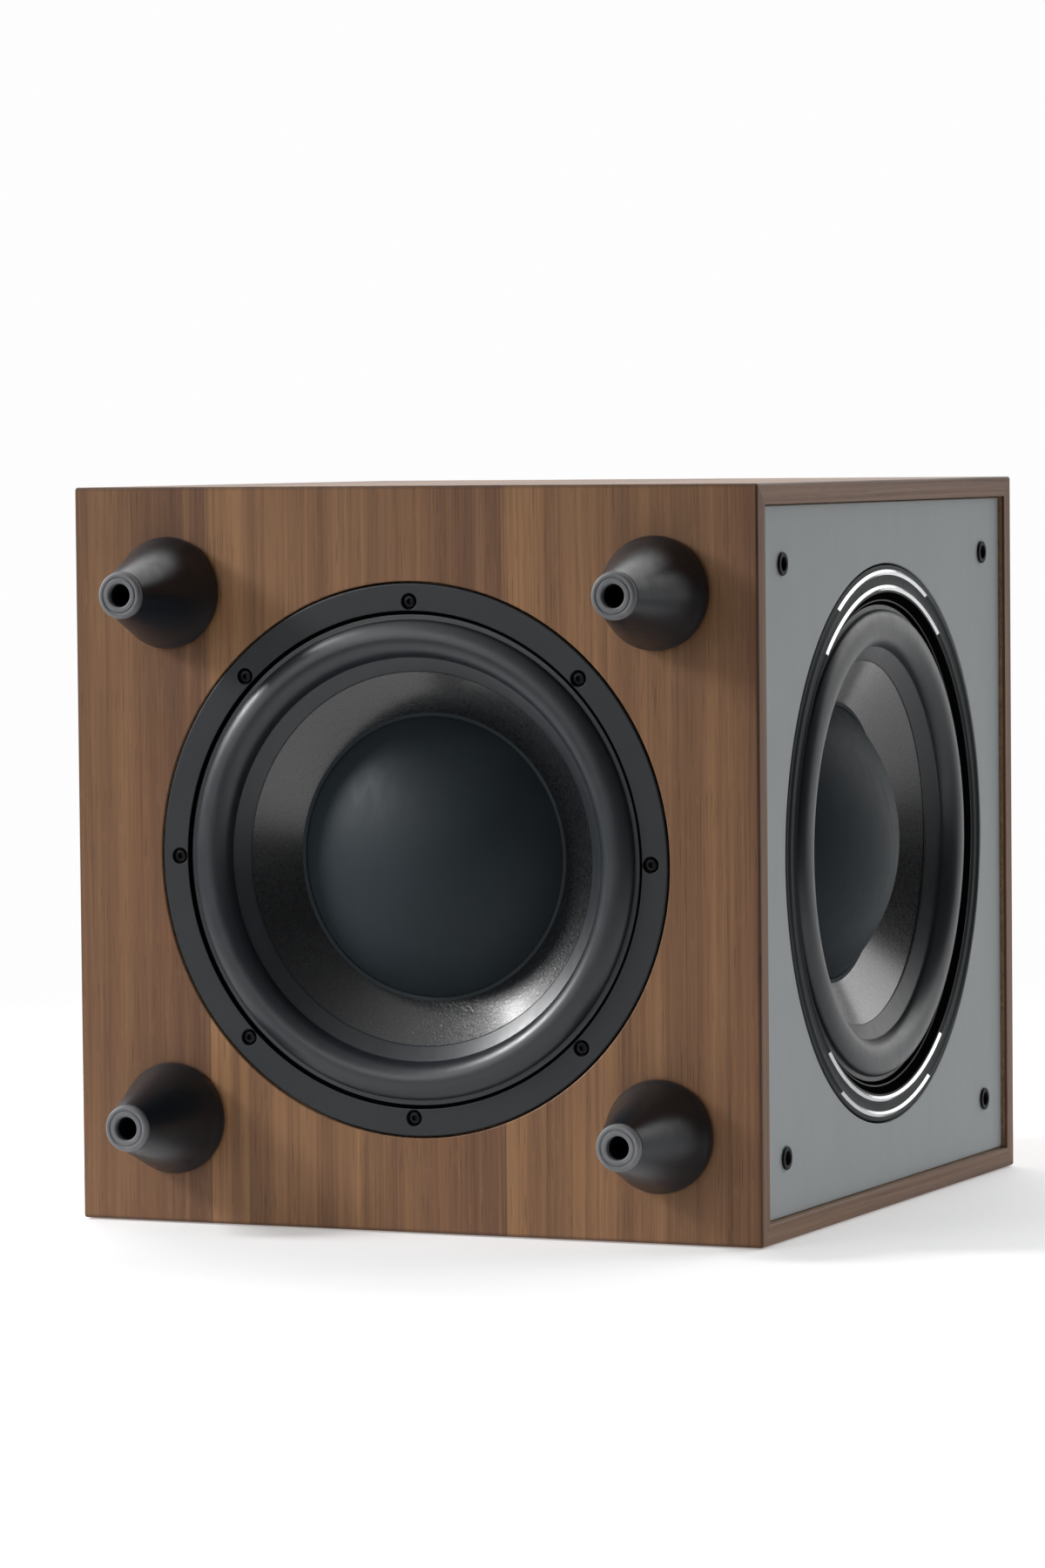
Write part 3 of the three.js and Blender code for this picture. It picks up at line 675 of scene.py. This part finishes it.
def make_feet():
    for i, shift in enumerate(corners(FOOT_PLACE), 1):
        foot = lathe(f"foot_body_{i}", [
            (5.5, 0.3), (26.0, 0.3, 0.3), (26.5, 1.4, 0.4), (26.5, 4.2, 3.0), (24.7, 8.4, 2.4),
            (11.0, 48.7, 0.4),
            (5.5, 48.7)], UNDER, 128, shift)
        fitted(dressed(foot, "foot"), "cabinet", f"foot_{i}")
        pad = lathe(f"foot_tip_{i}", [
            (5.5, 49.0), (11.0, 49.0, 0.15), (11.0, 51.0, 0.3), (10.0, 52.0, 0.35), (8.9, 52.0, 0.15),
            (8.5, 51.5, 0.15),
            (8.1, 51.5, 0.15), (7.7, 52.0, 0.15), (6.0, 52.0, 0.3), (5.5, 51.4, 0.1)], UNDER, 96, shift)
        fitted(dressed(pad, "pad"), "cabinet", f"foot_pad_{i}")
    bolts = []
    for shift in corners(FOOT_PLACE):
        head = lathe("head", [(0, -12), (2.6, -12), (2.6, 12), (4.9, 12, 0.3), (4.9, 17, 0.7), (0, 17)],
            UNDER, 64, shift)
        bolts.append(cut(head, [hexagon(2.2, 13.5, 18, UNDER, shift)]))
    fitted(dressed(joined("foot_bolts", bolts), "screw"), "cabinet")


def hexagon(radius, low, high, place, shift):
    return prism("cutter", [(shift[0] + radius * math.cos(math.pi * k / 3),
        shift[1] + radius * math.sin(math.pi * k / 3))
                            for k in range(6)], low, high, place)


# ---------------------------------------------------------------- drivers

CHASSIS = [
    (129.5, 0, 0.9), (116.5, 0, 0.7), (116.5, -2.5, 0.2), (106, -2.5, 0.6), (102, -25, 3), (76, -67, 0.5),
    (62, -67, 0.5),
    (62, -70, 0.5), (40, -91, 2), (40, -96, 0.5), (58, -96, 0.8), (73, -76, 3), (79, -68, 2), (105, -26, 4),
    (112.5, -7, 1.5), (112.5, -5, 0.3), (129.5, -5, 0.4)]


def chassis(name, place, screwed):
    obj = lathe(name, CHASSIS, place, 160)
    tools = []
    for i in range(6):
        turn = place @ Matrix.Rotation(math.radians(60 * i), 4, "Z")
        tools.append(prism("cutter", rectangle(90, 64, 8, (95, 0)), -60, -14, turn))
    if screwed:
        for shift in circle_places(SCREW_R):
            tools.append(hole(3.9, -3, place, shift, 0.25, 48))
            tools.append(hole(2.4, -8, place, shift, 0.1, 24, top=-2.5))
    cut(obj, tools)
    inverse = place.inverted()

    # Painted shade: the chassis shelf between the flange and the surround gets the flat black.
    def step(face):
        a, b, out = inverse @ (face.center / MM)
        return int(105 < math.hypot(a, b) < 116.9 and -2.7 < out < -0.1)
    return dressed(obj, ["chassis", "painted_shade"], marks=step)


def roll_profile(side):
    """The surround in two halves that meet at the crest. The outer one is glued to the chassis, and the
    inner one to the cone's face."""
    steps = 18
    sign, foot = (1, -1.3) if side == "outer" else (-1, -4.3)

    def arc(half, high, low):
        turn = [math.pi / 2 * (1 - k / steps) for k in range(steps + 1)]
        return [(ROLL_CREST + sign * half * math.cos(t), low + (high - low) * math.sin(t)) for t in turn]
    face, back = arc(8.9, ROLL_HIGH, foot), arc(8.9 - 1.1, 3.5, foot - 0.2)
    if side == "outer":
        tail = [(113.2, -1.45), (114.7, -1.35), (115, -1.6), (115, -2.2), (112.2, -2.3)]
    else:
        tail = [(94.6, -4.75), (94.0, -4.95), (88.5, -9.0), (87.9, -9.5), (87.8, -9.95), (94.6, -4.98),
            (96.0, -4.6)]
    return face + tail + back[::-1]


def make_driver(prefix, place, body, names):
    """The parts that a passive radiator and a woofer share."""
    for side in ("outer", "inner"):
        half = lathe(f"{prefix}_roll_{side}", roll_profile(side), place, 192)
        dressed(half, "rubber", 50)
        if side == "outer":
            fitted(half, "cabinet", names["surround"])
        else:
            crest, foot = place @ Vector((0, 0, ROLL_HIGH)), place @ Vector((0, 0, -4.2))
            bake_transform(half)
            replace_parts(half, names["surround"])
    cone = lathe(f"{prefix}_cone_body", [
        (98.5, -4.6, 0.3), (95, -5.0, 1.2), (90, -8.7), (80, -16.05), (70, -23.4), (66.5, -26),
        (26.5, -57, 1), (26.5, -59.2),
        (66.5, -28.2), (95, -7.2, 1), (98.5, -6, 0.3)], place, 192)
    fitted(dressed(cone, "cone"), body, names["cone"])

    rise, rim = 3.5 + 25.4, 66.0
    sphere = (rim ** 2 + rise ** 2) / (2 * rise)
    dome = []
    for k in range(25):
        angle = math.asin(rim / sphere) * k / 24
        dome.append((sphere * math.sin(angle), 3.5 - sphere + sphere * math.cos(angle)))
    under = [(max(0.0, r - 1.2 * r / rim), out - 1.2) for r, out in dome[::-1]]
    cap = lathe(f"{prefix}_cap", dome + under, place, 160)
    fitted(dressed(cap, "cap", 60), body, names["cap"])
    bead = lathe(f"{prefix}_cap_bead", [
        (65.9, -26.3, 0.3), (66.2, -25.0, 0.4), (67.0, -24.7, 0.4), (68.1, -24.6, 0.3), (68.3, -24.8, 0.2),
        (66.6, -26.3, 0.2)],
        place, 160)
    fitted(dressed(bead, "cap", 60), body)

    gasket = lathe(f"{prefix}_seal", [(114, -5.1, 0.2), (118, -5.1, 0.2), (118, -5.9, 0.2),
        (114, -5.9, 0.2)], place, 96)
    fitted(dressed(gasket, "foam"), "cabinet", names["gasket"])

    waves, top, foot = 9, -61.0, -65.8
    face = [(74.0, foot)]
    for k in range(waves * 4 + 1):
        share = k / (waves * 4)
        ripple = 0.55 * math.sin(share * waves * 2 * math.pi)
        face.append((62 - share * 35.3, foot + share * (top - foot) + ripple))
    back = [(r, out - 0.5) for r, out in face[::-1]]
    cloth = lathe(f"{prefix}_spider_cloth", face + back, place, 96)
    dressed(cloth, "spider", 60)
    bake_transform(cloth)
    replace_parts(cloth, names["spider"])


def make_radiator():
    make_driver("radiator", UNDER, "radiator_cone", {
        "surround": "pr_surround", "cone": "pr_cone", "cap": "pr_dust_cap", "gasket": "pr_gasket",
        "spider": "pr_spider"})
    fitted(chassis("radiator_chassis", UNDER, True), "cabinet", "pr_basket")
    mass = lathe("radiator_mass", [(0, -74), (26.2, -74, 0.8), (26.2, -58, 0.8), (0, -58)], UNDER, 96)
    fitted(dressed(mass, "steel"), "radiator_cone", "pr_mass")
    for i, shift in enumerate(circle_places(SCREW_R), 1):
        screw = lathe(f"radiator_screw_{i}", [
            (0, -16), (1.2, -15.4), (2, -14), (2, -2.7), (3.4, -2.7, 0.15), (3.4, -1.9, 0.5),
            (2.6, -0.6, 0.5), (0, -0.5)],
            UNDER, 48, shift)
        cut(screw, [hexagon(1.45, -2.3, 0.5, UNDER, shift)])
        fitted(dressed(screw, "screw"), "cabinet", f"pr_screw_{i}")


def make_woofer():
    make_driver("woofer", WOOFER, "woofer_cone", {
        "surround": "woofer_surround", "cone": "woofer_cone", "cap": "woofer_dust_cap",
        "gasket": "woofer_gasket",
        "spider": "woofer_spider"})
    fitted(chassis("woofer_chassis", WOOFER, False), "cabinet", "woofer_basket")
    ring = lathe("trim_ring_body", [
        (134, 0.3), (134, 2.6, 0.4), (133.2, 3, 0.3), (131.9, 3, 0.12), (130.6, 4, 0.12), (129.3, 3, 0.12),
        (126.9, 2.7, 0.8),
        (124.5, 3, 0.12), (123.2, 4, 0.12), (121.9, 3, 0.12), (120.9, 2.9, 0.3), (118.0, 0.8, 0.3),
        (117.5, 0.3)], WOOFER, 256)
    inverse = WOOFER.inverted()

    def highlight_and_shade(face):
        a, b, out = inverse @ (face.center / MM)
        radius = math.hypot(a, b)
        # Painted shade: the ring's inner bevel, inside the ridges, gets the flat black.
        if radius < 120.95:
            return 2
        # Painted highlight: bright polished metal on the ridge tops, only over the stretches at top and
        # bottom where the ridges catch the light.
        angle = abs(math.degrees(math.atan2(b, a)))
        highlight_arcs = ((129.2, 132.0, 64, 119), (121.8, 124.6, 53, 131))
        return int(out > 3.05 and any(r0 < radius < r1 and a0 < angle < a1 for r0, r1, a0, a1 in highlight_arcs))
    fitted(dressed(ring, ["trim", "cut", "painted_shade"], 20, marks=highlight_and_shade), "cabinet",
        "woofer_trim_ring")

    for name, node, profile, key, slot, body in (
            ("motor_coil", "voice_coil", [(25.2, -59.5), (26.2, -59.5), (26.2, -112), (25.2, -112)],
             "copper", "copper", "woofer_cone"),
            ("motor_top_plate", "top_plate",
                [(27.8, -96.3, 0.4), (62, -96.3, 0.8), (62, -104.3, 0.8), (27.8, -104.3, 0.4)],
             "steel", "steel", "cabinet"),
            ("motor_magnet", "magnet", [(32, -104.6, 0.6), (70, -104.6, 1.6), (70, -126.6, 1.6),
                (32, -126.6, 0.6)],
             "ferrite", "ferrite", "cabinet"),
            ("motor_back_plate", "back_plate", [
                (8, -96.3, 1), (23.8, -96.3, 1.2), (23.8, -126.9, 0.3), (66, -126.9, 0.8),
                (66, -134.9, 1.6), (8, -134.9, 1.2)],
             "steel", "steel", "cabinet")):
        fitted(dressed(lathe(name, profile, WOOFER, 96), key), body, node)


# ---------------------------------------------------------------- amplifier: a point is (-height, w, out)


def make_amplifier():
    plate = prism("amp_panel", rectangle(*PLATE, 6), -3, 0, REAR, 0.5)
    tools = [
        prism("cutter", rectangle(20.6, 28.6, 0, INLET), -5, 2, REAR),
        prism("cutter", rectangle(13.6, 20.6, 0, SWITCH), -5, 2, REAR),
        prism("cutter", rectangle(5, 10, 1, (-CONTROL_ROW, PHASE_W)), -5, 2, REAR),
        hole(3, -5, REAR, (-CONTROL_ROW, LIGHT_W), 0.2, 32)]
    tools += [hole(3.6, -5, REAR, (-CONTROL_ROW, w), 0.2, 32) for w in KNOBS.values()]
    tools += [hole(4.7, -5, REAR, (JACK_ROW, w), 0.2, 48) for _, _, w in JACKS]
    fitted(dressed(cut(plate, tools), "plate"), "cabinet", "amp_plate")

    screws = []
    places = [(a, b) for a in (-119, 0, 119) for b in (-89, 89)] + [(a, b) for a in (-119,
        119) for b in (-30, 30)]
    places += [(INLET[0], INLET[1] + side) for side in (-20, 20)]
    for k, shift in enumerate(places):
        base = 2.0 if k >= 10 else 0.0
        head = lathe("head", [(0, base), (3.1, base, 0.1), (3.1, base + 0.7, 0.4), (1.6, base + 1.7, 0.6),
            (0, base + 1.8)], REAR, 40, shift)
        turn = REAR @ Matrix.Translation((*shift, 0)) @ Matrix.Rotation(0.4 + 0.7 * k, 4, "Z")
        slots = [prism("cutter", rectangle(3.4, 0.8, 0), base + 0.7, base + 3, turn),
                 prism("cutter", rectangle(0.8, 3.4, 0), base + 0.7, base + 3, turn)]
        screws.append(cut(head, slots))
    fitted(dressed(joined("amp_screws", screws), "screw"), "cabinet")

    for name, w in KNOBS.items():
        shift = (-CONTROL_ROW, w)
        body = lathe(f"{name}_grip", [
            (0, -12), (3, -12), (3, 0.6), (9, 0.6, 0.2), (9, 3, 0.5), (8.2, 3.8, 0.5), (7.9, 6), (7.7, 9),
            (7.45, 12.6, 0.3),
            (6.4, 14, 0.6), (0, 14)], REAR, 192, shift, flutes=(24, 0.16, 4.5, 12.4))
        line = block("pointer", (-CONTROL_ROW - 8.4, w - 0.6, 12.9), (-CONTROL_ROW - 2, w + 0.6, 14.4),
            REAR, 0.15)
        dressed(body, "plastic")
        fitted(body, name, name)
        fitted(dressed(line, "white_print"), name)
        line.name = f"{name}_pointer"

    inlet = prism("inlet_body", rectangle(26, 48, 3, INLET), -0.2, 2, REAR, 0.5)
    shell = prism("shell", rectangle(20, 28, 2, INLET), -20, 0.5, REAR)
    combined(inlet, [shell], "UNION")
    recess = prism("cutter", [(72, 38), (88, 38), (88, 57), (83, 62), (77, 62), (72, 57)], -16, 4, REAR)
    cut(inlet, [recess])
    fitted(dressed(inlet, "plastic"), "cabinet", "mains_inlet")
    pins = [block("pin", (a - 2, w - 0.9, -17), (a + 2, w + 0.9, -3.5), REAR, 0.4) for a,
        w in ((81, 43), (77, 50), (81, 57))]
    fitted(dressed(joined("inlet_pins", pins), "steel"), "cabinet")

    housing = prism("switch_frame", rectangle(17, 25, 1.5, SWITCH), -0.2, 1.5, REAR, 0.4)
    combined(housing, [prism("shell", rectangle(13, 20, 0.5, SWITCH), -14, 0.5, REAR)], "UNION")
    cut(housing, [prism("cutter", rectangle(10.6, 17.6, 0.4, SWITCH), -12.5, 4, REAR)])
    fitted(dressed(housing, "plastic"), "cabinet", "switch_housing")
    turn = REAR @ Matrix.Translation((*SWITCH, 0)) @ Matrix.Rotation(math.radians(-10), 4, "X")
    top = [(7.3 * math.cos(math.pi * k / 12), 2.4 - 0.9 * math.sin(math.pi * k / 12)) for k in range(13)]
    side = [(w, out) for w, out in [(-7.3, -3.8), (7.3, -3.8), *top]]
    n = len(side)
    verts = [(-4.4, w, out) for w, out in side] + [(4.4, w, out) for w, out in side]
    faces = [tuple(range(n)), tuple(range(n, 2 * n))] + [(i, (i + 1) % n, n + (i + 1) % n,
        n + i) for i in range(n)]
    rocker = solid("rocker", verts, faces, turn)
    soft = rocker.modifiers.new("soft", "BEVEL")
    soft.width, soft.segments, soft.limit_method, soft.angle_limit = 0.35 * MM, 3, "ANGLE", math.radians(50)
    settle(rocker)
    fitted(dressed(rocker, "plastic"), "power_switch", "power_switch")
    line = block("rocker_line", (-1.7, -5.4, 1.5), (1.7, -4.9, 2.0), turn, 0.1)
    ring = lathe("rocker_ring", [(1.2, 1.5), (1.65, 1.5), (1.65, 2.05, 0.1), (1.2, 2.05, 0.1)], turn, 40,
        (0, 5.0))
    fitted(dressed(joined("rocker_marks", [line, ring]), "white_print"), "power_switch")

    lever = block("phase_lever", (-CONTROL_ROW - 2, 41, -8), (-CONTROL_ROW + 2, 45, 2.5), REAR, 0.4)
    base = block("base", (-CONTROL_ROW - 4, 37, -8), (-CONTROL_ROW + 4, 49, -4), REAR, 0.3)
    grooves = [block("cutter", (-CONTROL_ROW - 3, 41.7 + k, 2.1), (-CONTROL_ROW + 3, 42.1 + k, 3), REAR,
        0) for k in range(3)]
    cut(combined(lever, [base], "UNION"), grooves)
    fitted(dressed(lever, "plastic"), "phase_switch", "phase_switch")

    carrier = prism("jack_carrier", rectangle(16, 44, 2, (JACK_ROW, -48)), -14, -3.3, REAR, 0.5)
    fitted(dressed(carrier, "plastic"), "cabinet", "input_jacks")
    for colour, label, w in JACKS:
        barrel = lathe(f"jack_{label}_barrel", [
            (3.5, -3.3), (4.2, -3.3), (4.2, 1.0, 0.2), (3.9, 1.2, 0.1), (3.9, 5.4, 0.1), (4.15, 6.0, 0.3),
            (3.9, 6, 0.3), (3.5, 5.8, 0.1)],
            REAR, 64, (JACK_ROW, w))
        fitted(dressed(barrel, "gold"), "cabinet")
        insert = lathe(f"jack_{label}_insert", [
            (1.7, -3.3), (3.5, -3.3), (3.5, 5.0, 0.3), (2.4, 5.0, 0.3), (1.9, 4.4, 0.2), (1.7, 4.2)], REAR,
            64, (JACK_ROW, w))
        fitted(dressed(insert, colour), "cabinet")
        collar = lathe(f"jack_{label}_collar",
            [(4.3, 0.0), (6.2, 0.0, 0.1), (6.2, 0.5, 0.2), (4.3, 0.5, 0.1)], REAR, 64, (JACK_ROW, w))
        fitted(dressed(collar, colour), "cabinet")

    light = lathe("power_lens", [(0, -9), (2.5, -9), (2.5, 0, 0.2), (2.2, 1.1, 0.5), (1.2, 1.8, 0.5),
        (0, 2.0)], REAR, 64, (-CONTROL_ROW, LIGHT_W))
    fitted(dressed(light, "lens"), "cabinet", "status_light")
    make_print()


def make_print():
    """Tick marks round the knobs and lines beside the groups of controls, with no lettering."""
    parts = []
    for w in KNOBS.values():
        for k in range(11):
            turn = REAR @ Matrix.Translation((-CONTROL_ROW, w,
                0)) @ Matrix.Rotation(math.radians(180 - 140 + 28 * k), 4, "Z")
            long = 2.4 if k in (0, 5, 10) else 1.6
            parts.append(block("tick", (12.0, -0.22, 0.0), (12.0 + long, 0.22, 0.12), turn, 0))
    def rail(a0, a1, b0, b1):
        parts.append(block("rail", (a0, b0, 0.0), (a1, b1, 0.12), REAR, 0))
    rail(-CONTROL_ROW - 20, -CONTROL_ROW - 19.6, -84, 62)
    rail(-CONTROL_ROW + 19.6, -CONTROL_ROW + 20, -84, 62)
    rail(-52, -51.6, -72, -24)
    rail(-20.4, -20, -72, -24)
    for b in (39.6, 50.0):
        rail(-CONTROL_ROW - 6, -CONTROL_ROW - 5, b, b + 0.8)
    fitted(dressed(joined("panel_print", parts), "white_print"), "cabinet")


def dress_frame():
    """The frame's own solids that still show, all inside the cabinet."""
    for node, key in (("window_brace", "board"), ("damping_felt", "felt"), ("speaker_lead", "foam"),
            ("amp_board", "circuit"),
                      ("heat_sink", "aluminium"), ("transformer", "copper")):
        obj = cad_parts[node]
        for slot in obj.material_slots:
            slot.link = "OBJECT"
            slot.material = MAT[key]


# ---------------------------------------------------------------- stage


def make_stage():
    """A round pale floor that fades into a white studio, bright behind the object and dark before it."""
    mesh = bpy.data.meshes.new("floor")
    bm = bmesh.new()
    bmesh.ops.create_circle(bm, cap_ends=True, segments=128, radius=14.0)
    for v in bm.verts:
        v.co.z = -0.0006
    bm.to_mesh(mesh)
    bm.free()
    floor = bpy.data.objects.new("floor", mesh)
    bpy.context.scene.collection.objects.link(floor)
    p = Paint("floor", rough=0.75, specular_ior_level=0.2)
    tree, out = p.tree, p.tree.nodes["Material Output"]
    radius = p.node("VectorMath", p.where, operation="LENGTH", out="Value")
    cloud = p.noise(p.where, 9.0, 3.0)
    p.done(p.mix(p.span(cloud, 0.3, 0.7), (0.75, 0.75, 0.755, 1), (0.77, 0.77, 0.775, 1)))
    p.shader.inputs["Emission Color"].default_value = (1, 1, 1, 1)
    p.shader.inputs["Emission Strength"].default_value = 0.31
    split = tree.nodes.new("ShaderNodeSeparateXYZ")
    p.put(split.inputs[0], p.where)
    path = tree.nodes.new("ShaderNodeLightPath")
    glow = tree.nodes.new("ShaderNodeEmission")
    p.put(glow.inputs[0], p.mix(path.outputs["Is Camera Ray"], p.ramp(
        p.span(split.outputs[1], -0.9, 1.3), (0.0, 0.08), (0.35, 0.12), (1.0, 1.0)),
        (0.985, 0.985, 0.985, 1)))
    both = tree.nodes.new("ShaderNodeMixShader")
    p.put(both.inputs[0], p.span(radius, 0.35, 1.2))
    tree.links.new(p.shader.outputs[0], both.inputs[1])
    tree.links.new(glow.outputs[0], both.inputs[2])
    tree.links.new(both.outputs[0], out.inputs[0])
    mesh.materials.append(p.material)

    world = bpy.data.worlds.new("studio")
    bpy.context.scene.world = world
    world.use_nodes = True
    tree = world.node_tree
    tree.nodes.clear()
    def add(kind, **settings):
        made = tree.nodes.new("ShaderNode" + kind)
        for key, value in settings.items():
            setattr(made, key, value)
        return made
    where, split = add("TexCoord"), add("SeparateXYZ")
    tree.links.new(where.outputs["Generated"], split.inputs[0])
    def level(axis, low, high, from_value, to_value):
        made = add("MapRange", interpolation_type="SMOOTHSTEP")
        tree.links.new(split.outputs[axis], made.inputs[0])
        for i, value in enumerate((low, high, from_value, to_value), 1):
            made.inputs[i].default_value = value
        return made.outputs[0]
    behind = level(1, 0.30, 0.52, 0.0, 1.0)
    side = level(0, -0.55, 0.35, 0.62, 0.05)
    sky = level(2, 0.35, 0.95, 0.0, 0.10)
    ambient = add("Math", operation="ADD")
    tree.links.new(side, ambient.inputs[0])
    tree.links.new(sky, ambient.inputs[1])
    shade = add("Mix", data_type="FLOAT")
    tree.links.new(behind, shade.inputs[0])
    tree.links.new(ambient.outputs[0], shade.inputs[2])
    tree.links.new(level(2, 0.15, 0.65, 1.15, 2.6), shade.inputs[3])
    path = add("LightPath")
    seen = add("Mix", data_type="FLOAT")
    tree.links.new(path.outputs["Is Camera Ray"], seen.inputs[0])
    tree.links.new(shade.outputs[0], seen.inputs[2])
    seen.inputs[3].default_value = 0.985
    glow, end = add("Background"), add("OutputWorld")
    glow.inputs["Color"].default_value = (1, 1, 1, 1)
    tree.links.new(seen.outputs[0], glow.inputs["Strength"])
    tree.links.new(glow.outputs[0], end.inputs[0])

    def lamp(name, direction, distance, size, power, spread=160):
        data = bpy.data.lights.new(name, "AREA")
        data.shape, data.size, data.size_y, data.energy = "RECTANGLE", size[0], size[1], power
        data.spread = math.radians(spread)
        obj = bpy.data.objects.new(name, data)
        bpy.context.scene.collection.objects.link(obj)
        toward = Vector(direction).normalized()
        obj.location = Vector((0, 0, HALF * MM)) + toward * distance
        obj.rotation_mode = "QUATERNION"
        obj.rotation_quaternion = toward.to_track_quat("Z", "Y")
        obj.visible_camera = False
        return obj
    lamp("key", (-0.825, -0.32, 0.47), 2.4, (0.6, 0.6), 36).visible_glossy = False
    lamp("glint", (-0.81, -0.36, 0.465), 2.4, (0.45, 0.45), 40).visible_diffuse = False
    lamp("fill", (-0.45, -0.88, 0.30), 2.6, (1.2, 1.0), 7)


def make_view():
    scene = bpy.context.scene
    scene.view_settings.view_transform = "Standard"
    scene.view_settings.look = "None"


make_cabinet()
make_feet()
make_radiator()
make_woofer()
make_amplifier()
dress_frame()
make_stage()
make_view()

bpy.context.view_layer.update()
